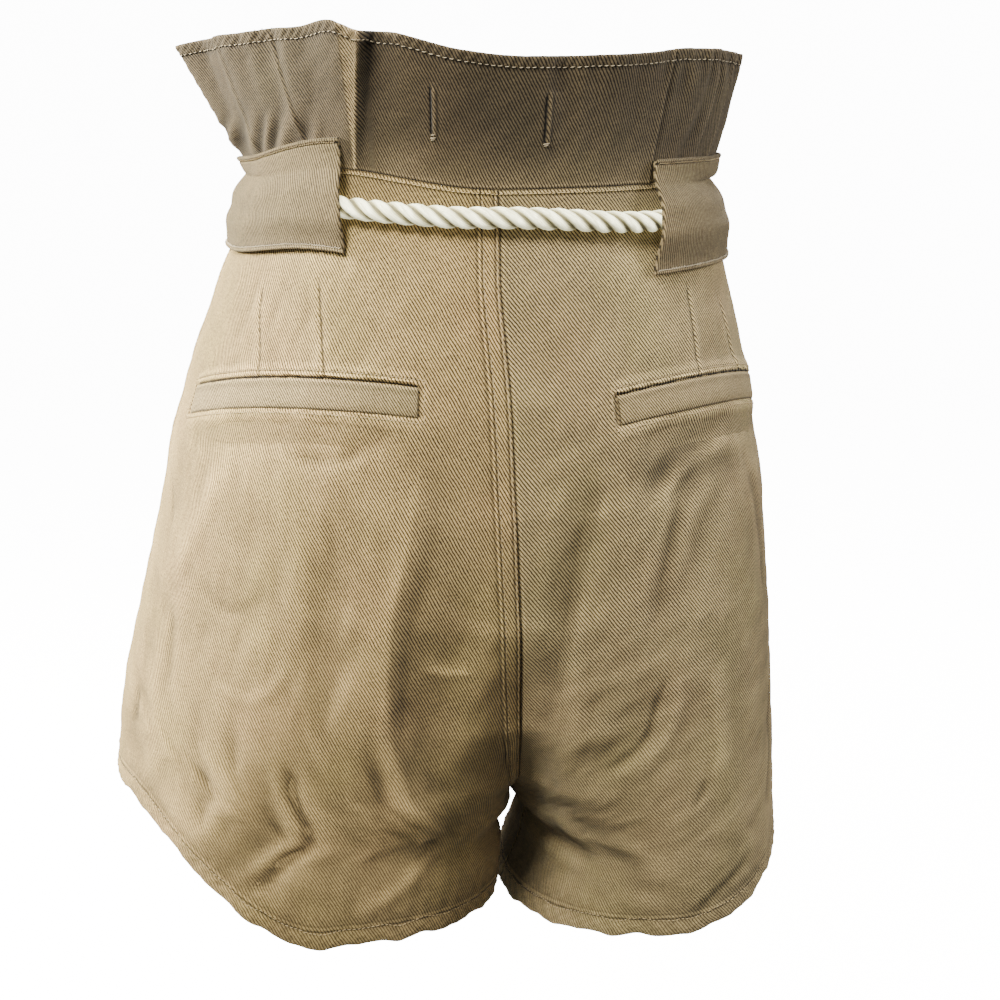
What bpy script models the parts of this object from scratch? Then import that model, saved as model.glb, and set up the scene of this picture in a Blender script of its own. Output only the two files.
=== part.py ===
"""Paperbag waist shorts in cotton twill, in their worn shape with nobody in them: a high waist under
a standing frill, wide belt carriers, a twisted rope belt, welt back pockets and short A-line legs.

Metres, +Z up. The back faces +Y and the wearer's left is +X. The origin is the middle of the waist
seam, where a wearer's waist holds the garment up.

Every cloth point is named by a side (LEFT or RIGHT), by how far around it lies (0 at the back seam,
1 at the side seam, 2 at the front seam) and by how far it has fallen (0 at the waist, 1 at the hem).
Past the crotch the same ring closes on itself along the inseam, so each leg is a tube.
"""

import math
from collections import namedtuple

import bmesh
import bpy
from mathutils import Vector

MM = 0.001
LEFT = 1
RIGHT = -1

# Cloth and sewing
WALL = 1.6 * MM
TURNED_WALL = 2.3 * MM
FRILL_WALL = 1.8 * MM
HEM_DEPTH = 11.0 * MM
SEAM_INSET = 0.16 * MM
LIFT = 0.55 * MM

# How finely the cloth is divided
BACK_COLUMNS = 20
FRONT_COLUMNS = 15
BODY_ROWS = 24
FRILL_BACK_COLUMNS = 92
FRILL_FRONT_COLUMNS = 42
FRILL_ROWS = 5
CURVE_STEPS = 14

# Sections of the body, in millimetres. The height is given at the centre seam, at the middle of the
# quarter and at the side seam. The seam columns are where the centre seam, and past the crotch the
# inseam, runs. The lobe columns are where the ring reaches furthest back and furthest forward.
# turn is 0 where the ring crosses the centre seam straight and 1 where it doubles back into a leg.
Section = namedtuple(
    "Section",
    "fall seam_z lobe_z side_z seam_x seam_back seam_front lobe_x back front side_x side_y turn",
)
LEFT_SECTIONS = (
    Section(0.00, 0, 9, 2, 4, 95, -92, 6, 95, -92, 108, 0, 0.00),
    Section(0.05, -18, -10, -14, 4, 100, -95, 8, 100, -95, 110, 0, 0.00),
    Section(0.12, -43, -37, -37, 5, 108, -100, 12, 108, -100, 125, 0, 0.00),
    Section(0.26, -96, -90, -80, 2, 120, -107, 22, 120, -108, 142, 0, 0.00),
    Section(0.40, -150, -142, -124, 0, 124, -109, 36, 125, -112, 156, 0, 0.02),
    Section(0.54, -206, -195, -168, -3, 119, -104, 50, 123, -111, 165, 0, 0.10),
    Section(0.68, -264, -248, -210, -7, 96, -86, 64, 117, -108, 175, 0, 0.30),
    Section(0.78, -302, -287, -242, -12, 62, -58, 76, 111, -105, 183, 0, 0.58),
    Section(0.865, -332, -318, -266, -17, 0, 0, 88, 106, -102, 188, 0, 1.00),
    Section(0.89, -342, -328, -273, -9, 0, 0, 90, 104, -102, 189, 0, 1.00),
    Section(0.93, -357, -346, -285, -12, 0, 0, 93, 102, -101, 190, 0, 1.00),
    Section(1.00, -381, -373, -307, -10, 0, 0, 97, 99, -100, 192, 0, 1.00),
)
RIGHT_SECTIONS = (
    Section(0.00, 0, 0, -1, 4, 95, -92, -2, 95, -92, -111, 0, 0.00),
    Section(0.05, -18, -18, -18, 4, 100, -95, -4, 100, -95, -115, 0, 0.00),
    Section(0.12, -43, -44, -42, 5, 108, -100, -8, 108, -100, -127, 0, 0.00),
    Section(0.26, -96, -98, -94, 2, 120, -107, -20, 120, -108, -140, 0, 0.00),
    Section(0.40, -150, -151, -149, 0, 124, -109, -33, 125, -112, -149, 0, 0.02),
    Section(0.54, -206, -206, -205, -3, 119, -104, -46, 123, -112, -154, 0, 0.10),
    Section(0.68, -264, -261, -261, -7, 96, -86, -60, 117, -110, -158, 0, 0.30),
    Section(0.78, -302, -298, -296, -12, 62, -58, -72, 112, -108, -160, 0, 0.58),
    Section(0.865, -332, -329, -323, -17, 0, 0, -84, 108, -106, -161, 0, 1.00),
    Section(0.89, -342, -339, -328, -27.5, 0, 0, -86, 107, -106, -161, 0, 1.00),
    Section(0.93, -358, -353, -336, -25, 0, 0, -88, 105, -105, -162, 0, 1.00),
    Section(1.00, -389, -379, -354, -13, 0, 0, -90, 102, -105, -163, 0, 1.00),
)
CROTCH_FALL = 0.865
SEAM_COLUMNS = ("seam_z", "seam_x", "seam_back", "seam_front", "turn")
FRONT_DROP = 9.0
LOBE_SHARE = 0.5
LEVEL_SHARE = 0.88
ROUNDNESS = 0.58
INNER_ROUNDNESS = 0.60
LEG_ROUNDNESS = 0.85
INSEAM_PULL = 0.28

# The largest folds of the body, each a soft ridge or trough along a bowed line between two places.
# Sizes in millimetres: bow pushes the middle of the line toward the side seam, width is to each side
# and depth is positive for a ridge. Hidden ones on the front match those that show on the back.
AROUND_MM = 195.0
FALL_MM = 385.0
FOLD_FADE = 16.0
Fold = namedtuple("Fold", "side from_around from_fall to_around to_fall bow width depth")
FOLDS = (
    Fold(LEFT, 0.11, 0.34, 0.38, 0.78, -3, 21, 5.5),
    Fold(LEFT, 0.12, 0.46, 0.34, 0.88, 4, 24, -9.0),
    Fold(LEFT, 0.46, 0.72, 0.66, 0.99, 5, 15, -4.5),
    Fold(LEFT, 0.56, 0.74, 0.76, 1.00, 3, 16, 3.0),
    Fold(LEFT, 0.66, 0.78, 0.73, 0.95, 0, 13, -3.0),
    Fold(LEFT, 0.85, 0.76, 0.90, 0.97, 0, 13, -3.0),
    Fold(LEFT, 0.60, 0.33, 0.82, 0.66, 0, 26, 3.0),
    Fold(RIGHT, 0.22, 0.30, 0.07, 0.60, -3, 15, -3.0),
    Fold(RIGHT, 0.50, 0.29, 0.26, 0.33, 0, 14, -2.2),
    Fold(RIGHT, 0.53, 0.33, 0.27, 0.62, -6, 17, -3.5),
    Fold(RIGHT, 0.30, 0.59, 0.15, 0.75, 4, 15, -3.5),
    Fold(RIGHT, 0.44, 0.56, 0.50, 0.84, 0, 18, 2.5),
    Fold(RIGHT, 0.24, 0.82, 0.42, 0.97, 4, 18, -3.5),
    Fold(LEFT, 1.78, 0.40, 1.32, 0.58, 5, 16, -3.0),
    Fold(LEFT, 1.74, 0.58, 1.42, 0.88, 4, 20, -4.5),
    Fold(LEFT, 1.30, 0.62, 1.22, 0.98, 0, 17, -3.5),
    Fold(RIGHT, 1.80, 0.44, 1.38, 0.56, -4, 16, -3.0),
    Fold(RIGHT, 1.72, 0.62, 1.46, 0.90, 4, 20, -4.0),
    Fold(RIGHT, 1.24, 0.56, 1.30, 0.97, 0, 18, -3.5),
)

# The frill round the waist: how tall its cloth stands and how far it leans out, at places around. A
# power over one keeps it upright near the seam, and one under it bulges it out there.
Stand = namedtuple("Stand", "around height lean power")
FRILL_STANDS = (
    Stand(-2.00, 50, 10, 0.80),
    Stand(-1.50, 50, 12, 0.80),
    Stand(-1.15, 56, 17, 0.50),
    Stand(-0.90, 60, 20, 0.38),
    Stand(-0.74, 63, 17, 0.50),
    Stand(-0.56, 63.5, 13, 1.00),
    Stand(-0.38, 61.5, 12, 1.60),
    Stand(-0.20, 60.5, 12, 1.80),
    Stand(-0.06, 60.5, 12, 1.80),
    Stand(0.12, 62.5, 12, 1.80),
    Stand(0.27, 65.5, 12, 1.60),
    Stand(0.36, 64.5, 12, 1.40),
    Stand(0.42, 68.0, 16, 1.10),
    Stand(0.54, 64.5, 18, 0.85),
    Stand(0.66, 65.5, 20, 0.75),
    Stand(0.80, 66.5, 23, 0.70),
    Stand(0.90, 65.0, 28, 0.70),
    Stand(1.00, 60.5, 34, 0.70),
    Stand(1.25, 56, 21, 0.80),
    Stand(1.50, 51, 12, 0.80),
    Stand(2.00, 50, 10, 0.80),
)
WAIST_QUARTER = 172.0
# Pleats of the frill, in millimetres: each rises to its crest over the first width and falls past it
# over the second, so a short second width is the sharp edge of a laid pleat.
Pleat = namedtuple("Pleat", "around lean_in before after crest")
FRILL_PLEATS = (
    Pleat(0.405, 0.02, 9, 26, 9.5),
    Pleat(0.33, 0.02, 12, 9, -3.0),
    Pleat(0.64, 0.00, 10, 12, -3.5),
    Pleat(0.80, -0.02, 12, 10, 3.0),
    Pleat(0.97, -0.03, 12, 7, 4.5),
    Pleat(1.13, 0.00, 9, 12, -3.5),
    Pleat(1.28, 0.02, 12, 9, 4.5),
    Pleat(1.46, 0.00, 10, 12, -3.5),
    Pleat(1.62, 0.02, 12, 9, 4.5),
    Pleat(1.80, 0.00, 10, 12, -3.0),
    Pleat(0.10, 0.02, 16, 16, 2.0),
    Pleat(-0.17, 0.00, 10, 9, -3.2),
    Pleat(-0.32, 0.00, 14, 12, 2.2),
    Pleat(-0.50, 0.05, 8, 11, -3.2),
    Pleat(-0.62, 0.04, 10, 8, 3.0),
    Pleat(-0.74, 0.04, 8, 9, -3.0),
    Pleat(-0.88, 0.02, 9, 9, 3.5),
    Pleat(-1.05, 0.00, 10, 10, -3.5),
    Pleat(-1.22, 0.00, 12, 9, 4.5),
    Pleat(-1.42, 0.00, 10, 12, -3.5),
    Pleat(-1.60, 0.00, 12, 9, 4.5),
    Pleat(-1.80, 0.00, 10, 12, -3.0),
)
PLEAT_POWER = 1.3

# Belt carriers: wide tabs over the rope at each side
Carrier = namedtuple("Carrier", "name side from_around to_around slant top far_top bottom far_bottom")
CARRIERS = (
    Carrier("belt_loop_left", LEFT, 0.46, 1.08, -0.05, 14.5, 6.5, -36.5, -35.0),
    Carrier("belt_loop_right", RIGHT, 0.48, 1.08, -0.08, 11.5, 11.0, -41.0, -38.5),
)
CARRIER_WALL = 1.6 * MM
CARRIER_COLUMNS = 9
CARRIER_HEIGHTS = (0.0, 0.12, 0.24, 0.36, 0.46, 0.56, 0.66, 0.76, 0.88, 1.0)
CARRIER_FOOT = 2.6 * MM

# The rope belt: three strands laid together
ROPE_RADIUS = 5.0 * MM
ROPE_LOBE = 0.12
ROPE_DROP = 11.0
ROPE_SAG = 4.5
SAG_AROUND = 0.45
FRONT_ROPE = 1.5
FLY_ROPE = 1.78
ROPE_TURNS = 28
RINGS_PER_TURN = 6
STRANDS = 3
POINTS_PER_STRAND = 3
ROPE_GAP = 0.7 * MM

# Welts of the back pockets
Welt = namedtuple("Welt", "name side from_around to_around from_z to_z bow height")
WELTS = (
    Welt("welt_left", LEFT, 0.205, 0.84, -87, -98, 7, 14.5),
    Welt("welt_right", RIGHT, 0.24, 0.87, -94, -102, 7, 14.5),
)
WELT_WALL = 1.1 * MM
WELT_COLUMNS = 12

# The fly, hidden from the back: a plain facing down the middle of the front
FLY_WIDTH = 34.0 * MM
FLY_FALL = 0.42
FLY_WALL = 1.2 * MM
FLY_ROWS = 9

# Finishes: colour, roughness, metallic
Finish = namedtuple("Finish", "name red green blue rough metal")
TWILL = Finish("khaki_twill", 0.36, 0.29, 0.19, 0.90, 0.0)
TWILL_DARK = Finish("khaki_twill_frill", 0.27, 0.21, 0.13, 0.90, 0.0)
COTTON_ROPE = Finish("cream_cotton_rope", 0.72, 0.67, 0.55, 0.92, 0.0)


# Reading the tables -------------------------------------------------------------------------------


def ease(t):
    """0 to 1 with a soft start and a soft end."""
    t = min(1.0, max(0.0, t))
    return t * t * (3.0 - 2.0 * t)


def slope(rows, index, key, column, below):
    """Slope of one column at one row of a table. The seam turns a corner at the crotch."""
    low = max(0, index - 1)
    high = min(len(rows) - 1, index + 1)
    if column in SEAM_COLUMNS and getattr(rows[index], key) == CROTCH_FALL:
        low = index if below else low
        high = high if below else index
    span = getattr(rows[high], key) - getattr(rows[low], key)
    return (getattr(rows[high], column) - getattr(rows[low], column)) / span


def read_table(rows, key, at, column):
    """A smooth curve through one column of a table."""
    last = len(rows) - 2
    index = 0
    while index < last and getattr(rows[index + 1], key) < at:
        index += 1
    low = rows[index]
    high = rows[index + 1]
    span = getattr(high, key) - getattr(low, key)
    t = min(1.0, max(0.0, (at - getattr(low, key)) / span))
    start = getattr(low, column)
    end = getattr(high, column)
    start_slope = slope(rows, index, key, column, True) * span
    end_slope = slope(rows, index + 1, key, column, False) * span
    t2 = t * t
    t3 = t2 * t
    value = (2 * t3 - 3 * t2 + 1) * start
    value += (t3 - 2 * t2 + t) * start_slope
    value += (3 * t2 - 2 * t3) * end
    value += (t3 - t2) * end_slope
    return value


def section_at(side, fall):
    """The section of one side at any fall."""
    rows = LEFT_SECTIONS if side == LEFT else RIGHT_SECTIONS
    values = [fall]
    for column in Section._fields[1:]:
        values.append(read_table(rows, "fall", fall, column))
    return Section(*values)


# The rings of the body ----------------------------------------------------------------------------


def bezier(a, b, c, d, t):
    """A point of a cubic curve in the plane."""
    s = 1.0 - t
    return (
        s * s * s * a[0] + 3 * s * s * t * b[0] + 3 * s * t * t * c[0] + t * t * t * d[0],
        s * s * s * a[1] + 3 * s * s * t * b[1] + 3 * s * t * t * c[1] + t * t * t * d[1],
    )


def quarter_line(side, front, fall):
    """The plan of a quarter ring from the centre seam to the side seam, with its running length."""
    sec = section_at(side, fall)
    facing = -1.0 if front else 1.0
    seam = (sec.seam_x + side * SEAM_INSET / MM, sec.seam_front if front else sec.seam_back)
    lobe = (sec.lobe_x, sec.front if front else sec.back)
    edge = (sec.side_x, sec.side_y)
    turn = min(1.0, max(0.0, sec.turn))
    angle = turn * math.pi / 2
    rise = abs(lobe[1] - seam[1])
    reach = abs(lobe[0] - seam[0])
    pull = INNER_ROUNDNESS * reach * (1.0 - turn) + INSEAM_PULL * rise * turn
    first = (
        seam[0] + side * math.cos(angle) * pull,
        seam[1] + facing * math.sin(angle) * pull,
    )
    ease_off = INNER_ROUNDNESS + (LEG_ROUNDNESS - INNER_ROUNDNESS) * turn
    second = (lobe[0] - side * ease_off * reach, lobe[1])
    third = (lobe[0] + side * ROUNDNESS * abs(edge[0] - lobe[0]), lobe[1])
    fourth = (edge[0], edge[1] + facing * ROUNDNESS * abs(lobe[1] - edge[1]))
    points = []
    for step in range(CURVE_STEPS):
        points.append(bezier(seam, first, second, lobe, step / CURVE_STEPS))
    for step in range(CURVE_STEPS + 1):
        points.append(bezier(lobe, third, fourth, edge, step / CURVE_STEPS))
    lengths = [0.0]
    for low, high in zip(points, points[1:]):
        lengths.append(lengths[-1] + math.dist(low, high))
    return points, lengths, sec


QUARTERS = {}


def quarter(side, front, fall):
    """A quarter ring, worked out once for each fall."""
    key = (side, front, round(fall, 6))
    if key not in QUARTERS:
        QUARTERS[key] = quarter_line(side, front, fall)
    return QUARTERS[key]


def along(points, lengths, share):
    """The point a share of the way along a line of points."""
    goal = share * lengths[-1]
    index = 0
    while index < len(lengths) - 2 and lengths[index + 1] < goal:
        index += 1
    span = lengths[index + 1] - lengths[index]
    t = (goal - lengths[index]) / span if span > 0 else 0.0
    low = points[index]
    high = points[index + 1]
    return low[0] + (high[0] - low[0]) * t, low[1] + (high[1] - low[1]) * t


def height_at(sec, share, front):
    """The height of a ring a share of the way from its centre seam to its side seam."""
    inner = ease(share / LOBE_SHARE)
    outer = ease((share - LOBE_SHARE) / (LEVEL_SHARE - LOBE_SHARE))
    height = sec.seam_z + (sec.lobe_z - sec.seam_z) * inner + (sec.side_z - sec.lobe_z) * outer
    if front:
        height -= FRONT_DROP * (1.0 - sec.fall) * ease(1.0 - share)
    return height


def body_point(side, around, fall):
    """A point of the smooth outer cloth, before its folds."""
    front = around > 1.0
    share = 2.0 - around if front else around
    points, lengths, sec = quarter(side, front, fall)
    x, y = along(points, lengths, share)
    return Vector((x, y, height_at(sec, share, front))) * MM


def fold_height(side, around, fall):
    """How far the folds lift the cloth at one place, in millimetres."""
    lift = 0.0
    for fold in FOLDS:
        if fold.side == side:
            lift += one_fold(fold, around, fall)
    from_seam = (0.5 - abs(around % 1.0 - 0.5)) * AROUND_MM
    return lift * ease(from_seam / FOLD_FADE)


def one_fold(fold, around, fall):
    """The lift of one fold: a rounded profile across its bowed line, fading at both ends."""
    start = Vector((fold.from_around * AROUND_MM, fold.from_fall * FALL_MM))
    end = Vector((fold.to_around * AROUND_MM, fold.to_fall * FALL_MM))
    here = Vector((around * AROUND_MM, fall * FALL_MM))
    run = end - start
    length = run.length
    run /= length
    offset = here - start
    share = offset.dot(run) / length
    if share < 0.0 or share > 1.0:
        return 0.0
    across = offset.x * run.y - offset.y * run.x
    across -= fold.bow * 4.0 * share * (1.0 - share)
    near = abs(across) / fold.width
    if near > 1.0:
        return 0.0
    ends = ease(min(share, 1.0 - share) * 3.0)
    profile = (1.0 - near * near) ** 2
    return fold.depth * profile * ends


# Cloth solids -------------------------------------------------------------------------------------


def grid_normals(grid):
    """Outward directions of a grid of points, from its neighbours."""
    rows = len(grid)
    columns = len(grid[0])
    normals = []
    for r in range(rows):
        line = []
        for c in range(columns):
            across = grid[r][min(c + 1, columns - 1)] - grid[r][max(c - 1, 0)]
            down = grid[min(r + 1, rows - 1)][c] - grid[max(r - 1, 0)][c]
            line.append(down.cross(across).normalized())
        normals.append(line)
    return normals


def moved_out(grid, normals, distance):
    """A grid moved along its normals, by one distance or by one for each row."""
    moved = []
    for r, line in enumerate(grid):
        step = distance[r] if isinstance(distance, list) else distance
        moved.append([point + normals[r][c] * step for c, point in enumerate(line)])
    return moved


def finish_material(finish):
    """The material of a piece."""
    material = bpy.data.materials.get(finish.name)
    if material is None:
        material = bpy.data.materials.new(finish.name)
        material.use_nodes = True
        shader = material.node_tree.nodes["Principled BSDF"]
        shader.inputs["Base Color"].default_value = (finish.red, finish.green, finish.blue, 1.0)
        shader.inputs["Roughness"].default_value = finish.rough
        shader.inputs["Metallic"].default_value = finish.metal
    return material


def make_object(name, bm, finish):
    """A named object from a mesh under construction, smooth but for its edges."""
    bmesh.ops.recalc_face_normals(bm, faces=bm.faces)
    mesh = bpy.data.meshes.new(name)
    bm.to_mesh(mesh)
    bm.free()
    mesh.shade_smooth()
    mesh.set_sharp_from_angle(angle=math.radians(50))
    mesh.materials.append(finish_material(finish))
    piece = bpy.data.objects.new(name, mesh)
    bpy.context.scene.collection.objects.link(piece)
    return piece


def shell(name, outer, inner, finish):
    """A closed wall between two grids of the same size."""
    rows = len(outer)
    columns = len(outer[0])
    bm = bmesh.new()
    front = [[bm.verts.new(point) for point in line] for line in outer]
    back = [[bm.verts.new(point) for point in line] for line in inner]
    for r in range(rows - 1):
        for c in range(columns - 1):
            a, b = front[r][c], front[r][c + 1]
            d, e = front[r + 1][c + 1], front[r + 1][c]
            bm.faces.new((a, b, d, e))
            a, b = back[r][c], back[r + 1][c]
            d, e = back[r + 1][c + 1], back[r][c + 1]
            bm.faces.new((a, b, d, e))
    for c in range(columns - 1):
        bm.faces.new((front[0][c + 1], front[0][c], back[0][c], back[0][c + 1]))
        bm.faces.new((front[-1][c], front[-1][c + 1], back[-1][c + 1], back[-1][c]))
    for r in range(rows - 1):
        bm.faces.new((front[r][0], front[r + 1][0], back[r + 1][0], back[r][0]))
        bm.faces.new((front[r + 1][-1], front[r][-1], back[r][-1], back[r + 1][-1]))
    return make_object(name, bm, finish)


# Leg panels ---------------------------------------------------------------------------------------


def inset_shares(count, length, turn):
    """Even shares from 0 to 1, set in from the side seam and, on a leg, from the inseam."""
    low = SEAM_INSET * turn / length
    high = 1.0 - SEAM_INSET / length
    return [low + (high - low) * c / count for c in range(count + 1)]


def body_falls():
    """The falls of the rows of a panel, with a row at the top of the turned hem."""
    hem = 1.0 - HEM_DEPTH / (FALL_MM * MM)
    falls = [hem * r / BODY_ROWS for r in range(BODY_ROWS + 1)]
    falls[0] = SEAM_INSET / (FALL_MM * MM)
    falls.append(1.0)
    return falls


def panel(name, side, front, finish):
    """One leg panel, from the centre seam to the side seam and from the waist to the hem."""
    columns = FRONT_COLUMNS if front else BACK_COLUMNS
    falls = body_falls()
    grid = []
    for fall in falls:
        _, lengths, sec = quarter(side, front, fall)
        line = []
        for share in inset_shares(columns, lengths[-1] * MM, sec.turn):
            around = 2.0 - share if front else share
            line.append((around, fall))
        grid.append(line)
    outer = [[body_point(side, a, f) for a, f in line] for line in grid]
    normals = grid_normals(outer)
    toward = 1.0 if normals[1][columns // 2].y * (-1.0 if front else 1.0) > 0 else -1.0
    normals = [[n * toward for n in line] for line in normals]
    for r, fall in enumerate(falls):
        turn = quarter(side, front, fall)[2].turn * math.pi / 2
        facing = -1.0 if front else 1.0
        normals[r][0] = Vector((-side * math.sin(turn), facing * math.cos(turn), 0.0))
        normals[r][-1] = Vector((side, 0.0, 0.0))
    for r, line in enumerate(grid):
        for c, (a, f) in enumerate(line):
            outer[r][c] += normals[r][c] * fold_height(side, a, f) * MM
    walls = [-WALL] * (len(falls) - 2) + [-TURNED_WALL, -TURNED_WALL]
    inner = moved_out(outer, normals, walls)
    return shell(name, outer, inner, finish)


# The frill ----------------------------------------------------------------------------------------


def pleat_height(around, rise, reach):
    """How far the pleats push the frill out at one place, in millimetres."""
    lift = 0.0
    for pleat in FRILL_PLEATS:
        crest = pleat.around + pleat.lean_in * (1.0 - rise)
        gap = (around - crest) * reach
        width = pleat.after if gap > 0 else pleat.before
        near = abs(gap) / width
        if near < 1.0:
            lift += pleat.crest * (1.0 - near * near) ** 2
    return lift * rise ** PLEAT_POWER


def waist_frame(around):
    """The waist seam at a place all round, with the level direction out of the garment there."""
    side = LEFT if around >= 0 else RIGHT
    here = abs(around)
    point = body_point(side, here, 0.0)
    step = 0.01
    before = body_point(side, max(0.0, here - step), 0.0)
    after = body_point(side, min(2.0, here + step), 0.0)
    run = after - before
    out = Vector((run.y, -run.x, 0.0)).normalized() * -side
    return point, out


def lean_out(around, rise):
    """How far the frill leans out at one place, in millimetres."""
    lean = read_table(FRILL_STANDS, "around", around, "lean")
    power = read_table(FRILL_STANDS, "around", around, "power")
    return lean * rise ** power


def frill_point(around, rise):
    """A point of the outer frill: rise is 0 at the waist seam and 1 at the top."""
    point, out = waist_frame(around)
    height = read_table(FRILL_STANDS, "around", around, "height")
    lift = lean_out(around, rise) + pleat_height(around, rise, WAIST_QUARTER)
    point = point + out * (lift * MM)
    point.z += SEAM_INSET + (height * MM - SEAM_INSET) * rise
    return point


def frill(name, start, end, columns, finish):
    """A stretch of the frill between two places around."""
    inset = SEAM_INSET / (WAIST_QUARTER * MM)
    grid = []
    for r in range(FRILL_ROWS + 1):
        rise = 1.0 - r / FRILL_ROWS
        line = []
        for c in range(columns + 1):
            around = start + inset + (end - start - 2 * inset) * c / columns
            line.append(frill_point(around, rise))
        grid.append(line)
    normals = grid_normals(grid)
    middle = normals[FRILL_ROWS][columns // 2]
    out = waist_frame((start + end) / 2)[1]
    toward = 1.0 if middle.dot(out) > 0 else -1.0
    normals = [[n * toward for n in line] for line in normals]
    for line in normals:
        line[0] = waist_frame(start)[1]
        line[-1] = waist_frame(end)[1]
    inner = moved_out(grid, normals, -FRILL_WALL)
    return shell(name, grid, inner, finish)


# Rope and carriers --------------------------------------------------------------------------------


def surface_at(side, around, level):
    """The smooth garment surface a number of millimetres above or below the waist seam."""
    if level >= 0:
        signed = around * side
        height = read_table(FRILL_STANDS, "around", signed, "height")
        point, out = waist_frame(signed)
        point = point + out * (lean_out(signed, level / height) * MM)
        point.z += level * MM
        return point
    top = body_point(side, around, 0.0)
    fall = 0.0
    step = 0.02
    while (top.z - body_point(side, around, fall).z) < -level * MM:
        fall += step
    high = fall - step
    drop_high = top.z - body_point(side, around, high).z
    drop_low = top.z - body_point(side, around, fall).z
    share = (-level * MM - drop_high) / (drop_low - drop_high)
    return body_point(side, around, high + step * share)


def rope_drop(around):
    """How far below the waist seam the rope lies, in millimetres: it dips toward the carriers."""
    middle = min(around, 2.0 - around)
    return ROPE_DROP + ROPE_SAG * ease(middle / SAG_AROUND)


def rope_centre(around):
    """The middle line of the rope, all round, clear of the cloth."""
    side = LEFT if around >= 0 else RIGHT
    point = surface_at(side, abs(around), -rope_drop(abs(around)))
    out = waist_frame(around)[1]
    over_fly = (LIFT + FLY_WALL) * ease((abs(around) - FRONT_ROPE) / (FLY_ROPE - FRONT_ROPE))
    return point + out * (ROPE_RADIUS + ROPE_GAP + over_fly), out


def rope(name, finish):
    """Three strands laid round each other and closed into a ring round the waist."""
    count = ROPE_TURNS * RINGS_PER_TURN
    dense = 480
    stations = [rope_centre(-2.0 + 4.0 * i / dense) for i in range(dense)]
    points = [station[0] for station in stations]
    points.append(points[0])
    lengths = [0.0]
    for low, high in zip(points, points[1:]):
        lengths.append(lengths[-1] + (high - low).length)
    bm = bmesh.new()
    rings = []
    for ring in range(count):
        goal = lengths[-1] * ring / count
        index = 0
        while lengths[index + 1] < goal:
            index += 1
        t = (goal - lengths[index]) / (lengths[index + 1] - lengths[index])
        centre = points[index].lerp(points[index + 1], t)
        out = stations[index][1].lerp(stations[(index + 1) % dense][1], t).normalized()
        up = Vector((0.0, 0.0, 1.0))
        spin = 2.0 * math.pi * ring / RINGS_PER_TURN
        rings.append([bm.verts.new(p) for p in rope_ring(centre, out, up, spin)])
    sides = len(rings[0])
    for ring in range(count):
        here = rings[ring]
        after = rings[(ring + 1) % count]
        for k in range(sides):
            bm.faces.new((here[k], here[(k + 1) % sides], after[(k + 1) % sides], after[k]))
    return make_object(name, bm, finish)


def rope_ring(centre, out, up, spin):
    """The three-lobed section of the rope, turned by its lay."""
    points = []
    count = STRANDS * POINTS_PER_STRAND
    for k in range(count):
        angle = 2.0 * math.pi * k / count
        lobe = math.cos(STRANDS * angle)
        radius = ROPE_RADIUS * (1.0 - ROPE_LOBE + ROPE_LOBE * lobe)
        turn = angle + spin
        points.append(centre + (out * math.cos(turn) + up * math.sin(turn)) * radius)
    return points


def carrier_lift(level, top, bottom):
    """How far a carrier stands off the garment at a height, so that the rope passes under it."""
    middle = -ROPE_DROP - ROPE_SAG
    over = (2.0 * ROPE_RADIUS + 2.0 * ROPE_GAP) - CARRIER_FOOT
    half = middle - bottom if level < middle else top - middle
    near = abs(level - middle) / half
    flat = ROPE_RADIUS / MM * 0.75 / half
    return CARRIER_FOOT + over * (1.0 - ease((near - flat) / (1.0 - flat)))


def carrier(row, finish):
    """A wide tab sewn down above and below the rope."""
    outer = []
    inner = []
    for share in CARRIER_HEIGHTS:
        outer_line = []
        inner_line = []
        for c in range(CARRIER_COLUMNS + 1):
            across = c / CARRIER_COLUMNS
            top = row.top + (row.far_top - row.top) * across
            bottom = row.bottom + (row.far_bottom - row.bottom) * across
            level = top + (bottom - top) * share
            lift = carrier_lift(level, top, bottom)
            around = row.from_around + (row.to_around - row.from_around) * across
            around += row.slant * share
            point = surface_at(row.side, around, level)
            out = waist_frame(around * row.side)[1]
            inner_line.append(point + out * lift)
            outer_line.append(point + out * (lift + CARRIER_WALL))
        outer.append(outer_line)
        inner.append(inner_line)
    return shell(row.name, outer, inner, finish)


# Pockets and fly ----------------------------------------------------------------------------------


def lying_normal(side, around, fall):
    """The outward direction of the cloth at one place."""
    step = 0.01
    a = body_point(side, min(around + step, 2.0), fall) - body_point(side, max(around - step, 0.0), fall)
    d = body_point(side, around, fall + step) - body_point(side, around, fall - step)
    normal = a.cross(d).normalized()
    centre = Vector((0.0, 0.0, 0.0))
    outward = body_point(side, around, fall) - centre
    outward.z = 0.0
    return normal if normal.dot(outward) > 0 else -normal


def cloth_point(side, around, fall):
    """A point of the outer cloth with its folds, and the direction out of it."""
    normal = lying_normal(side, around, fall)
    return body_point(side, around, fall) + normal * fold_height(side, around, fall) * MM, normal


def fall_at_height(side, around, goal):
    """How far down the garment a height lies, by halving."""
    low = 0.0
    high = 1.0
    for _ in range(24):
        middle = (low + high) / 2
        if body_point(side, around, middle).z > goal * MM:
            low = middle
        else:
            high = middle
    return (low + high) / 2


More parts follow.
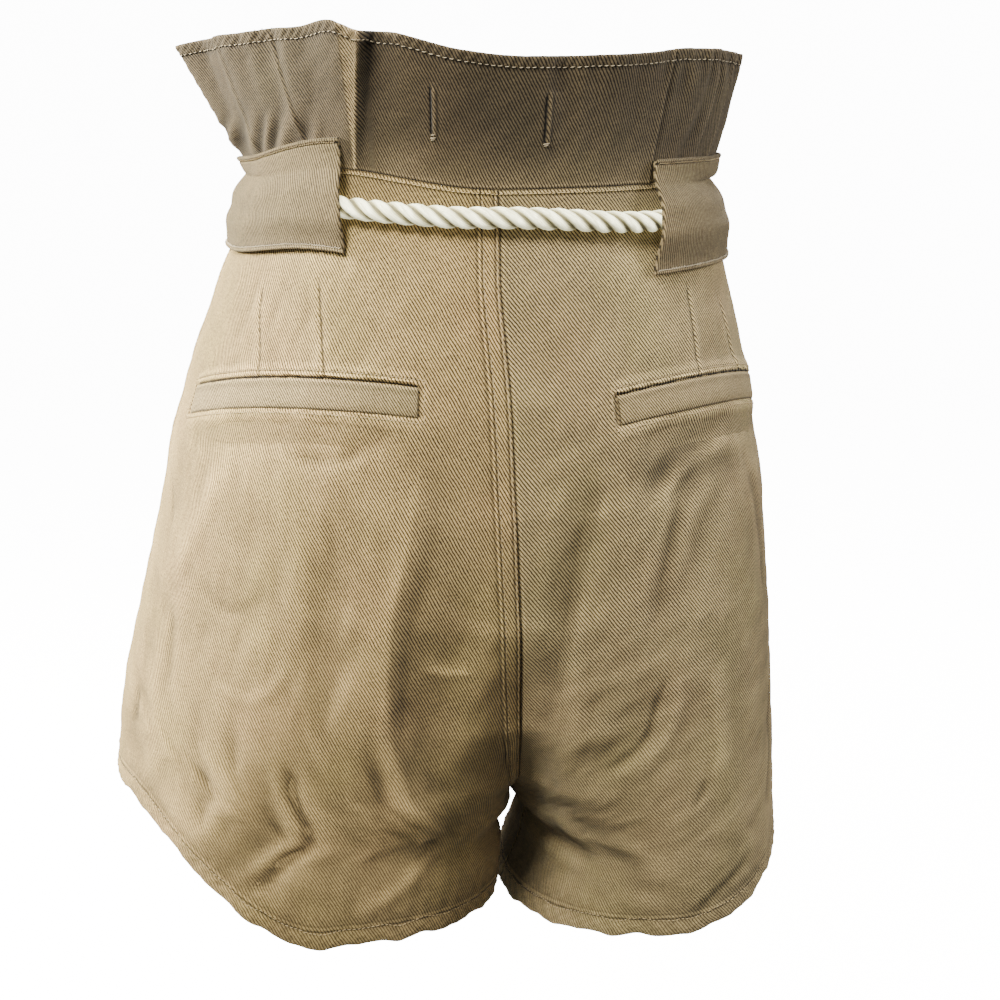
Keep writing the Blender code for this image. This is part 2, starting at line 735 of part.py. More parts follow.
def welt(row, finish):
    """The single welt of a back pocket, lying on the panel."""
    outer = []
    inner = []
    for share in (0.0, 0.5, 1.0):
        outer_line = []
        inner_line = []
        for c in range(WELT_COLUMNS + 1):
            t = c / WELT_COLUMNS
            around = row.from_around + (row.to_around - row.from_around) * t
            level = row.from_z + (row.to_z - row.from_z) * t + row.bow * 4.0 * t * (1.0 - t)
            level -= row.height * share
            point, normal = cloth_point(row.side, around, fall_at_height(row.side, around, level))
            inner_line.append(point + normal * LIFT)
            outer_line.append(point + normal * (LIFT + WELT_WALL))
        outer.append(outer_line)
        inner.append(inner_line)
    return shell(row.name, outer, inner, finish)


def fly(name, finish):
    """A plain fly facing on the wearer's left front, beside the centre seam."""
    outer = []
    inner = []
    for r in range(FLY_ROWS + 1):
        fall = 0.012 + (FLY_FALL - 0.012) * r / FLY_ROWS
        length = quarter(LEFT, True, fall)[1][-1] * MM
        outer_line = []
        inner_line = []
        for c in range(3):
            share = (SEAM_INSET + FLY_WIDTH * (1.0 - 0.9 * ease((r / FLY_ROWS - 0.7) / 0.3)) * c / 2) / length
            point, normal = cloth_point(LEFT, 2.0 - share, fall)
            inner_line.append(point + normal * LIFT)
            outer_line.append(point + normal * (LIFT + FLY_WALL))
        outer.append(outer_line)
        inner.append(inner_line)
    return shell(name, outer, inner, finish)


def build():
    """All the pieces of the garment."""
    panel("back_left", LEFT, False, TWILL)
    panel("back_right", RIGHT, False, TWILL)
    panel("front_left", LEFT, True, TWILL)
    panel("front_right", RIGHT, True, TWILL)
    frill("frill_back", -1.0, 1.0, FRILL_BACK_COLUMNS, TWILL_DARK)
    frill("frill_front_left", 1.0, 2.0, FRILL_FRONT_COLUMNS, TWILL_DARK)
    frill("frill_front_right", -2.0, -1.0, FRILL_FRONT_COLUMNS, TWILL_DARK)
    rope("rope_belt", COTTON_ROPE)
    for row in CARRIERS:
        carrier(row, TWILL)
    for row in WELTS:
        welt(row, TWILL)
    fly("fly_facing", TWILL)


for old in list(bpy.data.objects):
    bpy.data.objects.remove(old, do_unlink=True)
build()
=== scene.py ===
"""Looks of a pair of paperbag waist shorts in cotton twill, in their worn shape with nobody in them.

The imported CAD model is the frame: every piece of cloth here is a thin shell on the form of its CAD
solid, worked out again from the same section tables and then given its creases, seams, weave and
sewing. Tables are in millimetres, meshes in metres. The back faces +Y and the wearer's left is +X.

A place on the cloth is named by its side, by how far around it lies (0 at the back seam, 1 at the
side seam, 2 at the front seam) and by how far it has fallen (0 at the waist seam, 1 at the hem). On
the frill, around carries the sign of the side, and rise is 0 at the waist seam and 1 at the top.
"""

import logging
import math
import sys
from dataclasses import dataclass
from enum import Enum
from typing import Iterable, Optional, Sequence

import bpy
import numpy as np
from mathutils import Matrix, Vector


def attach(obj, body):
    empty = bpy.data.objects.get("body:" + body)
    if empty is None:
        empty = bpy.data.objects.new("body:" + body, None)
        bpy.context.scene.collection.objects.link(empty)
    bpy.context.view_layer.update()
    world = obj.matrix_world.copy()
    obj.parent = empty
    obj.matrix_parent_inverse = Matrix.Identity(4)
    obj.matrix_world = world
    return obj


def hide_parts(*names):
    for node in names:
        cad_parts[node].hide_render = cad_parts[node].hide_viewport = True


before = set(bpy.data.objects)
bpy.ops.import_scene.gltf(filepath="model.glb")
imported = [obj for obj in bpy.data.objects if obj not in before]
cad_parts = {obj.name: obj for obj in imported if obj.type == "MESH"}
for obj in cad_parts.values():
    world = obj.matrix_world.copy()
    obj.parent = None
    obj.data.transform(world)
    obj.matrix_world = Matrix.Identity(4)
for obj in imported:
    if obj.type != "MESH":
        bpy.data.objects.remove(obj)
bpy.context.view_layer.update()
log = logging.getLogger("shorts")

MM = 0.001
UV_NAME = "cloth"
MARKS_NAME = "marks"
EDGES_NAME = "edges"
TONE_NAME = "tone"
FAR_MARK = 9.0


class Side(Enum):
    """The wearer's side of the garment; the value is the sign of X."""

    LEFT = 1
    RIGHT = -1


class Half(Enum):
    """Which half of a side: the value is the sign of Y that it faces."""

    BACK = 1
    FRONT = -1


class Hold(Enum):
    STRETCHED = "stretched"
    GATHERED = "gathered"
    FOLDED = "folded"
    LAID = "laid"


def ease(t: np.ndarray | float) -> np.ndarray | float:
    """A soft step from 0 to 1."""
    t = np.clip(t, 0.0, 1.0)
    return t * t * (3.0 - 2.0 * t)


def bell(distance: np.ndarray, width: float) -> np.ndarray:
    """A rounded bump that is 1 in the middle and gone past about twice its width."""
    return np.exp(-((distance / width) ** 2))


def unit(vectors: np.ndarray) -> np.ndarray:
    """Vectors at length one, along the last axis."""
    length = np.linalg.norm(vectors, axis=-1, keepdims=True)
    return vectors / np.maximum(length, 1e-9)


def graded(bands: Sequence[tuple[float, float]], multiple: int = 3) -> np.ndarray:
    """Shares from 0 to 1, denser where the bands ask for it.

    Args:
        bands: (length, step) of each stretch in turn, in millimetres.
        multiple: the number of gaps is made a multiple of this.

    Returns:
        The shares, 0 and 1 included.
    """
    places = [0.0]
    for length, step in bands:
        count = max(1, round(length / step))
        places.extend(places[-1] + length * (k + 1) / count for k in range(count))
    line = np.array(places) / places[-1]
    gaps = math.ceil((len(line) - 1) / multiple) * multiple
    return np.interp(np.linspace(0, 1, gaps + 1), np.linspace(0, 1, len(line)), line)


def smooth_path(points: Sequence[tuple[float, float]], count: int = 30) -> np.ndarray:
    """A smooth curve through a few places.

    Args:
        points: the places, two numbers each.
        count: how many points the curve gets.

    Returns:
        An array of count rows.
    """
    rows = np.array(points, float)
    if len(rows) == 2:
        return rows[0] + (rows[1] - rows[0]) * np.linspace(0, 1, count)[:, None]
    padded = np.vstack([2 * rows[0] - rows[1], rows, 2 * rows[-1] - rows[-2]])
    at = np.linspace(0, len(rows) - 1, count)
    index = np.minimum(at.astype(int), len(rows) - 2)
    t = (at - index)[:, None]
    a, b, c, d = (padded[index + k] for k in range(4))
    return 0.5 * (2 * b + (c - a) * t + (2 * a - 5 * b + 4 * c - d) * t**2 + (3 * b - a - 3 * c + d) * t**3)


def running_length(points: np.ndarray) -> np.ndarray:
    """The length from the first point of a line to each of its points."""
    return np.concatenate([[0.0], np.cumsum(np.linalg.norm(np.diff(points, axis=0), axis=1))])


def resampled(points: np.ndarray, at: np.ndarray) -> np.ndarray:
    """The points of a line at given lengths along it."""
    lengths = running_length(points)
    return np.stack([np.interp(at, lengths, points[:, k]) for k in range(points.shape[1])], axis=1)


def blurred(field: np.ndarray, half: int) -> np.ndarray:
    """A field smoothed twice over a square window that reaches half cells each way."""
    size = 2 * half + 1
    for axis in (0, 1, 0, 1):
        pad = [(0, 0), (0, 0)]
        pad[axis] = (half + 1, half)
        total = np.cumsum(np.pad(field, pad, mode="edge"), axis=axis)
        field = (total[size:] - total[:-size] if axis == 0 else total[:, size:] - total[:, :-size]) / size
    return field


def wear_and_painted_light_tone(lift: np.ndarray, wide: float = 0.15, fine: float = 0.40) -> np.ndarray:
    """How much lighter cloth is where it stands out, from rubbing and a painted highlight, and darker where it lies
    deep, from painted shade.

    Args:
        lift: the lift at each point of a grid, in millimetres.
        wide: the share for each millimetre over the broad neighbourhood.
        fine: the share for each millimetre over the near one.

    Returns:
        What the colour is multiplied by.
    """
    tone = 1 + wide * (lift - blurred(lift, 7)) + fine * (lift - blurred(lift, 2))
    return np.clip(tone, 0.42, 1.42)


class Table:
    """A table whose columns are read as smooth curves over its first column."""

    def __init__(
        self, rows: Sequence[Sequence[float]], corner: Optional[float] = None, corners: Iterable[int] = (),
    ) -> None:
        """Works out the slopes.

        Args:
            rows: the rows, the key first.
            corner: the key at which some columns turn a corner.
            corners: the columns that do.
        """
        self.rows = np.array(rows, float)
        count = len(self.rows)
        low = np.maximum(np.arange(count) - 1, 0)
        high = np.minimum(np.arange(count) + 1, count - 1)
        key = self.rows[:, 0]
        middle = (self.rows[high] - self.rows[low]) / (key[high] - key[low])[:, None]
        self.start = middle.copy()
        self.end = middle.copy()
        for row in np.nonzero(key == corner)[0] if corner is not None else []:
            for column in corners:
                self.start[row, column] = (self.rows[row + 1, column] - self.rows[row, column]) / (
                    key[row + 1] - key[row]
                )
                self.end[row, column] = (self.rows[row, column] - self.rows[row - 1, column]) / (
                    key[row] - key[row - 1]
                )

    def read(self, at: np.ndarray) -> np.ndarray:
        """All columns at each key.

        Args:
            at: the keys.

        Returns:
            One row for each key.
        """
        at = np.atleast_1d(np.asarray(at, float))
        key = self.rows[:, 0]
        index = np.clip(np.searchsorted(key, at, side="left") - 1, 0, len(key) - 2)
        span = key[index + 1] - key[index]
        t = np.clip((at - key[index]) / span, 0.0, 1.0)[:, None]
        value = (2 * t**3 - 3 * t**2 + 1) * self.rows[index]
        value += (t**3 - 2 * t**2 + t) * self.start[index] * span[:, None]
        value += (3 * t**2 - 2 * t**3) * self.rows[index + 1]
        value += (t**3 - t**2) * self.end[index] * span[:, None]
        return value


# The worn form -----------------------------------------------------------------------------------

# fall, seam_z, lobe_z, side_z, seam_x, seam_back, seam_front, lobe_x, back, front, side_x, side_y, turn
LEFT_SECTIONS = (
    (0.00, 0, 9, 2, 4, 95, -92, 6, 95, -92, 108, 0, 0.00),
    (0.05, -18, -10, -14, 4, 100, -95, 8, 100, -95, 110, 0, 0.00),
    (0.12, -43, -37, -37, 5, 108, -100, 12, 108, -100, 125, 0, 0.00),
    (0.26, -96, -90, -80, 2, 120, -107, 22, 120, -108, 142, 0, 0.00),
    (0.40, -150, -142, -124, 0, 124, -109, 36, 125, -112, 156, 0, 0.02),
    (0.54, -206, -195, -168, -3, 119, -104, 50, 123, -111, 165, 0, 0.10),
    (0.68, -264, -248, -210, -7, 96, -86, 64, 117, -108, 175, 0, 0.30),
    (0.78, -302, -287, -242, -12, 62, -58, 76, 111, -105, 183, 0, 0.58),
    (0.865, -332, -318, -266, -17, 0, 0, 88, 106, -102, 188, 0, 1.00),
    (0.89, -342, -328, -273, -9, 0, 0, 90, 104, -102, 189, 0, 1.00),
    (0.93, -357, -346, -285, -12, 0, 0, 93, 102, -101, 190, 0, 1.00),
    (1.00, -381, -373, -307, -10, 0, 0, 97, 99, -100, 192, 0, 1.00),
)
RIGHT_SECTIONS = (
    (0.00, 0, 0, -1, 4, 95, -92, -2, 95, -92, -111, 0, 0.00),
    (0.05, -18, -18, -18, 4, 100, -95, -4, 100, -95, -115, 0, 0.00),
    (0.12, -43, -44, -42, 5, 108, -100, -8, 108, -100, -127, 0, 0.00),
    (0.26, -96, -98, -94, 2, 120, -107, -20, 120, -108, -140, 0, 0.00),
    (0.40, -150, -151, -149, 0, 124, -109, -33, 125, -112, -149, 0, 0.02),
    (0.54, -206, -206, -205, -3, 119, -104, -46, 123, -112, -154, 0, 0.10),
    (0.68, -264, -261, -261, -7, 96, -86, -60, 117, -110, -158, 0, 0.30),
    (0.78, -302, -298, -296, -12, 62, -58, -72, 112, -108, -160, 0, 0.58),
    (0.865, -332, -329, -323, -17, 0, 0, -84, 108, -106, -161, 0, 1.00),
    (0.89, -342, -339, -328, -27.5, 0, 0, -86, 107, -106, -161, 0, 1.00),
    (0.93, -358, -353, -336, -25, 0, 0, -88, 105, -105, -162, 0, 1.00),
    (1.00, -389, -379, -354, -13, 0, 0, -90, 102, -105, -163, 0, 1.00),
)

# side, from around, from fall, to around, to fall, bow, width, depth: the folds of the CAD cloth
MAIN_FOLDS = (
    (Side.LEFT, 0.11, 0.34, 0.38, 0.78, -3, 21, 5.5),
    (Side.LEFT, 0.12, 0.46, 0.34, 0.88, 4, 24, -9.0),
    (Side.LEFT, 0.46, 0.72, 0.66, 0.99, 5, 15, -4.5),
    (Side.LEFT, 0.56, 0.74, 0.76, 1.00, 3, 16, 3.0),
    (Side.LEFT, 0.66, 0.78, 0.73, 0.95, 0, 13, -3.0),
    (Side.LEFT, 0.85, 0.76, 0.90, 0.97, 0, 13, -3.0),
    (Side.LEFT, 0.60, 0.33, 0.82, 0.66, 0, 26, 3.0),
    (Side.RIGHT, 0.22, 0.30, 0.07, 0.60, -3, 15, -3.0),
    (Side.RIGHT, 0.50, 0.29, 0.26, 0.33, 0, 14, -2.2),
    (Side.RIGHT, 0.53, 0.33, 0.27, 0.62, -6, 17, -3.5),
    (Side.RIGHT, 0.30, 0.59, 0.15, 0.75, 4, 15, -3.5),
    (Side.RIGHT, 0.44, 0.56, 0.50, 0.84, 0, 18, 2.5),
    (Side.RIGHT, 0.24, 0.82, 0.42, 0.97, 4, 18, -3.5),
    (Side.LEFT, 1.78, 0.40, 1.32, 0.58, 5, 16, -3.0),
    (Side.LEFT, 1.74, 0.58, 1.42, 0.88, 4, 20, -4.5),
    (Side.LEFT, 1.30, 0.62, 1.22, 0.98, 0, 17, -3.5),
    (Side.RIGHT, 1.80, 0.44, 1.38, 0.56, -4, 16, -3.0),
    (Side.RIGHT, 1.72, 0.62, 1.46, 0.90, 4, 20, -4.0),
    (Side.RIGHT, 1.24, 0.56, 1.30, 0.97, 0, 18, -3.5),
)


@dataclass(frozen=True)
class Crease:
    """A crease laid along a given path on the cloth, seen from outside with the path running down.

    Attributes:
        side: the side of the garment.
        path: (around, fall) of its places.
        depth: positive for a ridge, negative for a trough.
        left: how wide it is to the viewer's left of the path.
        right: how wide it is to the viewer's right.
        sharp: 0 for a soft roll, 1 for a crisp edge.
        fade: the share of its length over which each end dies away.
    """

    side: Side
    path: tuple[tuple[float, float], ...]
    depth: float
    left: float
    right: float
    sharp: float = 0.2
    fade: float = 0.3


CREASES = (
    Crease(
        Side.LEFT, ((0.19, 0.31), (0.215, 0.42), (0.262, 0.53), (0.290, 0.64), (0.315, 0.74), (0.35, 0.88)),
        3.6, 34, 11, 0.35, 0.30,
    ),
    Crease(Side.LEFT, ((0.25, 0.64), (0.29, 0.74), (0.33, 0.86)), 3.2, 13, 17, 0.0, 0.35),
    Crease(Side.LEFT, ((0.31, 0.30), (0.35, 0.40), (0.40, 0.55), (0.42, 0.68)), -0.8, 14, 16, 0.0, 0.35),
    Crease(Side.LEFT, ((0.50, 0.36), (0.46, 0.47), (0.44, 0.60)), 0.6, 12, 10, 0.1, 0.35),
    Crease(Side.LEFT, ((0.12, 0.38), (0.12, 0.50), (0.13, 0.60), (0.16, 0.72), (0.20, 0.84)), -0.9, 16, 15, 0.0),
    Crease(Side.LEFT, ((0.21, 0.59), (0.15, 0.595), (0.09, 0.59)), 1.0, 6, 3, 0.5),
    Crease(
        Side.LEFT,
        ((0.507, 0.733), (0.494, 0.764), (0.508, 0.811), (0.533, 0.854), (0.584, 0.91), (0.638, 0.973)),
        -2.0, 5, 5, 0.6, 0.2,
    ),
    Crease(
        Side.LEFT, ((0.526, 0.718), (0.526, 0.796), (0.567, 0.868), (0.607, 0.915), (0.66, 0.972)), 1.3, 8,
        5, 0.3,
    ),
    Crease(Side.LEFT, ((0.71, 0.827), (0.695, 0.855), (0.705, 0.936)), -1.6, 4, 5, 0.5),
    Crease(Side.LEFT, ((0.36, 0.70), (0.34, 0.80), (0.36, 0.93)), -0.7, 4, 9, 0.4),
    Crease(Side.LEFT, ((0.44, 0.62), (0.43, 0.72), (0.42, 0.82)), 0.6, 5, 8, 0.4),
    Crease(Side.LEFT, ((0.58, 0.70), (0.60, 0.76), (0.60, 0.83)), -0.7, 4, 6, 0.4),
    Crease(Side.LEFT, ((0.78, 0.62), (0.76, 0.70), (0.77, 0.78)), -0.8, 5, 6, 0.4),
    Crease(Side.LEFT, ((0.25, 0.70), (0.29, 0.79), (0.33, 0.88)), 2.0, 20, 20, 0.0, 0.35),
    Crease(Side.LEFT, ((0.87, 0.80), (0.88, 0.84), (0.89, 0.89)), -1.4, 5, 4, 0.4),
    Crease(Side.LEFT, ((0.62, 0.35), (0.69, 0.45), (0.75, 0.55), (0.81, 0.63)), 1.1, 12, 9, 0.1),
    Crease(Side.LEFT, ((0.89, 0.46), (0.85, 0.50), (0.82, 0.54)), -0.7, 4, 3, 0.5),
    Crease(Side.LEFT, ((0.28, 0.31), (0.38, 0.34), (0.52, 0.34)), -1.2, 7, 6, 0.2),
    Crease(Side.LEFT, ((0.52, 0.52), (0.60, 0.56), (0.70, 0.56)), -0.6, 5, 4, 0.3),
    Crease(Side.LEFT, ((0.45, 0.60), (0.54, 0.66), (0.66, 0.67)), 0.6, 6, 5, 0.3),
    Crease(Side.LEFT, ((0.30, 0.86), (0.38, 0.92), (0.47, 0.96)), 1.0, 8, 7, 0.2),
    Crease(Side.RIGHT, ((0.20, 0.31), (0.13, 0.43), (0.085, 0.56), (0.05, 0.69)), -1.0, 16, 5, 0.3),
    Crease(Side.RIGHT, ((0.60, 0.295), (0.48, 0.32), (0.36, 0.345), (0.26, 0.40)), -2.8, 11, 8, 0.2),
    Crease(Side.RIGHT, ((0.56, 0.36), (0.46, 0.38), (0.38, 0.43), (0.33, 0.52)), 1.2, 8, 10, 0.2),
    Crease(Side.RIGHT, ((0.52, 0.335), (0.44, 0.35), (0.36, 0.40), (0.28, 0.57)), -1.5, 8, 9, 0.3),
    Crease(Side.RIGHT, ((0.335, 0.60), (0.305, 0.64), (0.275, 0.70), (0.20, 0.74)), -1.3, 4, 6, 0.6, 0.3),
    Crease(Side.RIGHT, ((0.365, 0.60), (0.345, 0.66), (0.31, 0.715), (0.23, 0.76)), 0.9, 5, 8, 0.3),
    Crease(Side.RIGHT, ((0.45, 0.76), (0.455, 0.78), (0.46, 0.81)), -1.0, 4, 3, 0.5),
    Crease(Side.RIGHT, ((0.24, 0.82), (0.33, 0.895), (0.42, 0.97)), 1.7, 17, 17, 0.0, 0.33),
    Crease(Side.RIGHT, ((0.50, 0.985), (0.56, 0.95), (0.66, 0.915)), -1.2, 5, 5, 0.4),
    Crease(Side.RIGHT, ((0.44, 0.60), (0.47, 0.70), (0.50, 0.80)), 1.1, 8, 12, 0.2),
    Crease(Side.RIGHT, ((0.10, 0.55), (0.13, 0.66), (0.11, 0.77)), 0.9, 8, 8, 0.1),
    Crease(Side.RIGHT, ((0.62, 0.34), (0.70, 0.46), (0.72, 0.58)), -1.2, 8, 9, 0.2),
    Crease(Side.RIGHT, ((0.80, 0.62), (0.74, 0.76), (0.76, 0.90)), -1.3, 8, 7, 0.2),
    Crease(Side.LEFT, ((1.88, 0.47), (1.70, 0.52), (1.50, 0.53)), -1.7, 5, 8, 0.4),
    Crease(Side.LEFT, ((1.86, 0.56), (1.66, 0.66), (1.50, 0.80)), -1.9, 8, 6, 0.4),
    Crease(Side.LEFT, ((1.80, 0.66), (1.72, 0.78), (1.70, 0.92)), -1.6, 6, 7, 0.3),
    Crease(Side.LEFT, ((1.40, 0.36), (1.30, 0.52), (1.26, 0.66)), 1.2, 9, 11, 0.1),
    Crease(Side.LEFT, ((1.36, 0.72), (1.28, 0.84), (1.26, 0.95)), -1.5, 7, 5, 0.4),
    Crease(Side.LEFT, ((1.60, 0.24), (1.50, 0.33), (1.46, 0.42)), -0.9, 7, 7, 0.2),
    Crease(Side.RIGHT, ((1.88, 0.48), (1.68, 0.53), (1.48, 0.52)), -1.7, 7, 5, 0.4),
    Crease(Side.RIGHT, ((1.86, 0.58), (1.68, 0.68), (1.52, 0.84)), -1.8, 6, 8, 0.4),
    Crease(Side.RIGHT, ((1.78, 0.68), (1.70, 0.82), (1.72, 0.93)), -1.4, 7, 6, 0.3),
    Crease(Side.RIGHT, ((1.34, 0.40), (1.26, 0.56), (1.28, 0.72)), 1.1, 11, 9, 0.1),
    Crease(Side.RIGHT, ((1.40, 0.74), (1.32, 0.86), (1.34, 0.95)), -1.4, 5, 7, 0.4),
    Crease(Side.RIGHT, ((1.56, 0.22), (1.48, 0.32), (1.40, 0.40)), -0.9, 7, 7, 0.2),
)


class BodyForm:
    """The smooth worn form of the body, ring by ring, from the section tables."""

    SEAM_INSET = 0.012
    LOBE_SHARE = 0.5
    LEVEL_SHARE = 0.88
    FRONT_DROP = 9.0
    ROUNDNESS = 0.58
    INNER_ROUNDNESS = 0.60
    LEG_ROUNDNESS = 0.85
    INSEAM_PULL = 0.28
    AROUND_MM = 195.0
    FALL_MM = 385.0
    FOLD_FADE = 16.0
    CURVE_STEPS = 44
    GRAIN_X = 70.0
    CROTCH_FALL = 0.865
    SEAM_COLUMNS = (1, 4, 5, 6, 12)
    SOFTER = 0.48

    def __init__(self) -> None:
        """Reads the section tables of both sides."""
        self.tables = {
            Side.LEFT: Table(LEFT_SECTIONS, self.CROTCH_FALL, self.SEAM_COLUMNS),
            Side.RIGHT: Table(RIGHT_SECTIONS, self.CROTCH_FALL, self.SEAM_COLUMNS),
        }

    def rings(self, side: Side, half: Half, falls: np.ndarray) -> tuple[np.ndarray, np.ndarray, np.ndarray]:
        """The plans of a quarter ring at each fall.

        Args:
            side: the side of the garment.
            half: back or front.
            falls: the falls.

        Returns:
            The plan points, their running lengths, and the section rows.
        """
        sec = self.tables[side].read(falls)
        sign = side.value
        facing = half.value
        seam = np.stack([sec[:, 4] + sign * self.SEAM_INSET, sec[:, 5 if half is Half.BACK else 6]], 1)
        lobe = np.stack([sec[:, 7], sec[:, 8 if half is Half.BACK else 9]], 1)
        edge = sec[:, 10:12]
        turn = np.clip(sec[:, 12], 0.0, 1.0)
        angle = turn * math.pi / 2
        rise = np.abs(lobe[:, 1] - seam[:, 1])
        reach = np.abs(lobe[:, 0] - seam[:, 0])
        pull = self.INNER_ROUNDNESS * reach * (1 - turn) + self.INSEAM_PULL * rise * turn
        first = seam + np.stack([sign * np.cos(angle) * pull, facing * np.sin(angle) * pull], 1)
        ease_off = self.INNER_ROUNDNESS + (self.LEG_ROUNDNESS - self.INNER_ROUNDNESS) * turn
        second = lobe - np.stack([sign * ease_off * reach, np.zeros_like(reach)], 1)
        third = lobe + np.stack([sign * self.ROUNDNESS * np.abs(edge[:, 0] - lobe[:, 0]), 0 * reach], 1)
        fourth = edge + np.stack([0 * reach, facing * self.ROUNDNESS * np.abs(lobe[:, 1] - edge[:, 1])], 1)
        t = np.linspace(0, 1, self.CURVE_STEPS + 1)[None, :, None]
        s = 1 - t
        inner = (
            s**3 * seam[:, None] + 3 * s * s * t * first[:, None] + 3 * s * t * t * second[:, None]
            + t**3 * lobe[:, None]
        )
        outer = (
            s**3 * lobe[:, None] + 3 * s * s * t * third[:, None] + 3 * s * t * t * fourth[:, None]
            + t**3 * edge[:, None]
        )
        plan = np.concatenate([inner, outer[:, 1:]], axis=1)
        steps = np.linalg.norm(np.diff(plan, axis=1), axis=2)
        lengths = np.concatenate([np.zeros((len(plan), 1)), np.cumsum(steps, axis=1)], axis=1)
        return plan, lengths, sec

    def heights(self, sec: np.ndarray, shares: np.ndarray, half: Half) -> np.ndarray:
        """The heights of rings at shares of the way from the centre seam to the side seam."""
        seam_z, lobe_z, side_z, fall = (sec[:, k][:, None] for k in (1, 2, 3, 0))
        inner = ease(shares / self.LOBE_SHARE)
        outer = ease((shares - self.LOBE_SHARE) / (self.LEVEL_SHARE - self.LOBE_SHARE))
        height = seam_z + (lobe_z - seam_z) * inner + (side_z - lobe_z) * outer
        if half is Half.FRONT:
            height = height - self.FRONT_DROP * (1 - fall) * ease(1 - shares)
        return height

    def grid(
        self, side: Side, half: Half, falls: np.ndarray, shares: np.ndarray, inset: bool = True,
    ) -> np.ndarray:
        """Points of the smooth cloth at every fall and share.

        Args:
            side: the side of the garment.
            half: back or front.
            falls: the falls, one for each row.
            shares: shares from the centre seam to the side seam, one for each column.
            inset: whether the seam edges are set in.

        Returns:
            Rows by columns by three, in millimetres.
        """
        plan, lengths, sec = self.rings(side, half, falls)
        low = self.SEAM_INSET * np.clip(sec[:, 12], 0, 1) / lengths[:, -1] if inset else 0 * sec[:, 0]
        high = 1 - self.SEAM_INSET / lengths[:, -1] if inset else 1 + 0 * sec[:, 0]
        at = low[:, None] + (high - low)[:, None] * shares[None, :]
        rows = []
        for r in range(len(falls)):
            goal = at[r] * lengths[r, -1]
            rows.append(np.stack([np.interp(goal, lengths[r], plan[r, :, k]) for k in (0, 1)], axis=1))
        height = self.heights(sec, at, half)
        return np.concatenate([np.array(rows), height[..., None]], axis=2)

    def grain(
        self, side: Side, half: Half, falls: np.ndarray, shares: np.ndarray, base: np.ndarray,
    ) -> np.ndarray:
        """Where each point lies along the weave, whose grain hangs straight down a line of the panel.

        Args:
            side: the side of the garment.
            half: back or front.
            falls: the falls, one for each row.
            shares: the shares, one for each column.
            base: the smooth cloth.

        Returns:
            Distance to the viewer's right and height, in millimetres.
        """
        plan, lengths, _ = self.rings(side, half, falls)
        out = np.maximum.accumulate(plan[..., 0] * side.value, axis=1)
        start = np.array([np.interp(self.GRAIN_X, row, length) for row, length in zip(out, lengths)])
        across = shares[None, :] * lengths[:, -1:] - start[:, None]
        return np.stack([across * -side.value * half.value + 500 * half.value, base[..., 2]], axis=2)

    def points(self, side: Side, arounds: np.ndarray, falls: np.ndarray) -> np.ndarray:
        """Single points of the smooth cloth, one for each pair of around and fall."""
        result = []
        for around, fall in zip(arounds, falls):
            half = Half.FRONT if around > 1 else Half.BACK
            share = np.array([2 - around if around > 1 else around])
            result.append(self.grid(side, half, np.array([fall]), share, False)[0, 0])
        return np.array(result)

    def waist_line(self, signed: np.ndarray, fall: float = 0.0) -> tuple[np.ndarray, np.ndarray]:
        """The cloth at one fall all round, with the level direction out of the garment.

        Args:
            signed: places around, with the sign of their side.
            fall: the fall.

        Returns:
            The points and the directions.
        """
        dense = np.linspace(0, 1, 401)
        points = np.zeros((len(signed), 3))
        outs = np.zeros((len(signed), 3))
        for side in Side:
            quarters = [
                self.grid(side, half, np.array([fall]), dense, False)[0] for half in (Half.BACK, Half.FRONT)
            ]
            line = np.vstack([quarters[0], quarters[1][-2::-1]])
            mine = (signed >= 0) if side is Side.LEFT else (signed < 0)
            here = np.abs(signed[mine])
            keys = np.linspace(0, 2, len(line))
            at = np.stack([np.interp(here, keys, line[:, k]) for k in range(3)], axis=1)
            before = np.stack(
                [np.interp(np.maximum(here - 0.01, 0), keys, line[:, k]) for k in range(3)], axis=1,
            )
            after = np.stack(
                [np.interp(np.minimum(here + 0.01, 2), keys, line[:, k]) for k in range(3)], axis=1,
            )
            run = after - before
            out = np.stack([run[:, 1], -run[:, 0], 0 * run[:, 0]], axis=1) * -side.value
            points[mine] = at
            outs[mine] = unit(out)
        return points, outs

    def fold_lift(self, side: Side, arounds: np.ndarray, falls: np.ndarray) -> np.ndarray:
        """How far the main folds lift the cloth, softer than in the CAD solids."""
        here = np.stack([arounds * self.AROUND_MM, falls * self.FALL_MM], axis=-1)
        lift = np.zeros(here.shape[:-1])
        for owner, a0, f0, a1, f1, bow, width, depth in MAIN_FOLDS:
            if owner is not side:
                continue
            start = np.array([a0 * self.AROUND_MM, f0 * self.FALL_MM])
            run = np.array([a1 * self.AROUND_MM, f1 * self.FALL_MM]) - start
            length = np.linalg.norm(run)
            run = run / length
            offset = here - start
            share = offset @ run / length
            across = offset[..., 0] * run[1] - offset[..., 1] * run[0] - bow * 4 * share * (1 - share)
            near = np.minimum(np.abs(across) / width, 1)
            inside = (share > 0) & (share < 1)
            lift += np.where(inside, depth * (1 - near**2) ** 2 * ease(np.minimum(share, 1 - share) * 3), 0)
        from_seam = (0.5 - np.abs(arounds % 1.0 - 0.5)) * self.AROUND_MM
        return self.SOFTER * lift * ease(from_seam / self.FOLD_FADE)


def grid_normals(grid: np.ndarray, outward: np.ndarray) -> np.ndarray:
    """Directions out of a grid of points.

    Args:
        grid: rows by columns by three.
        outward: a rough outward direction for the whole grid, or one for each point.

    Returns:
        One unit vector for each point.
    """
    across = np.gradient(grid, axis=1)
    down = np.gradient(grid, axis=0)
    normal = unit(np.cross(down, across))
    facing = np.sum(normal * outward, axis=-1)
    return normal if np.median(facing) > 0 else -normal
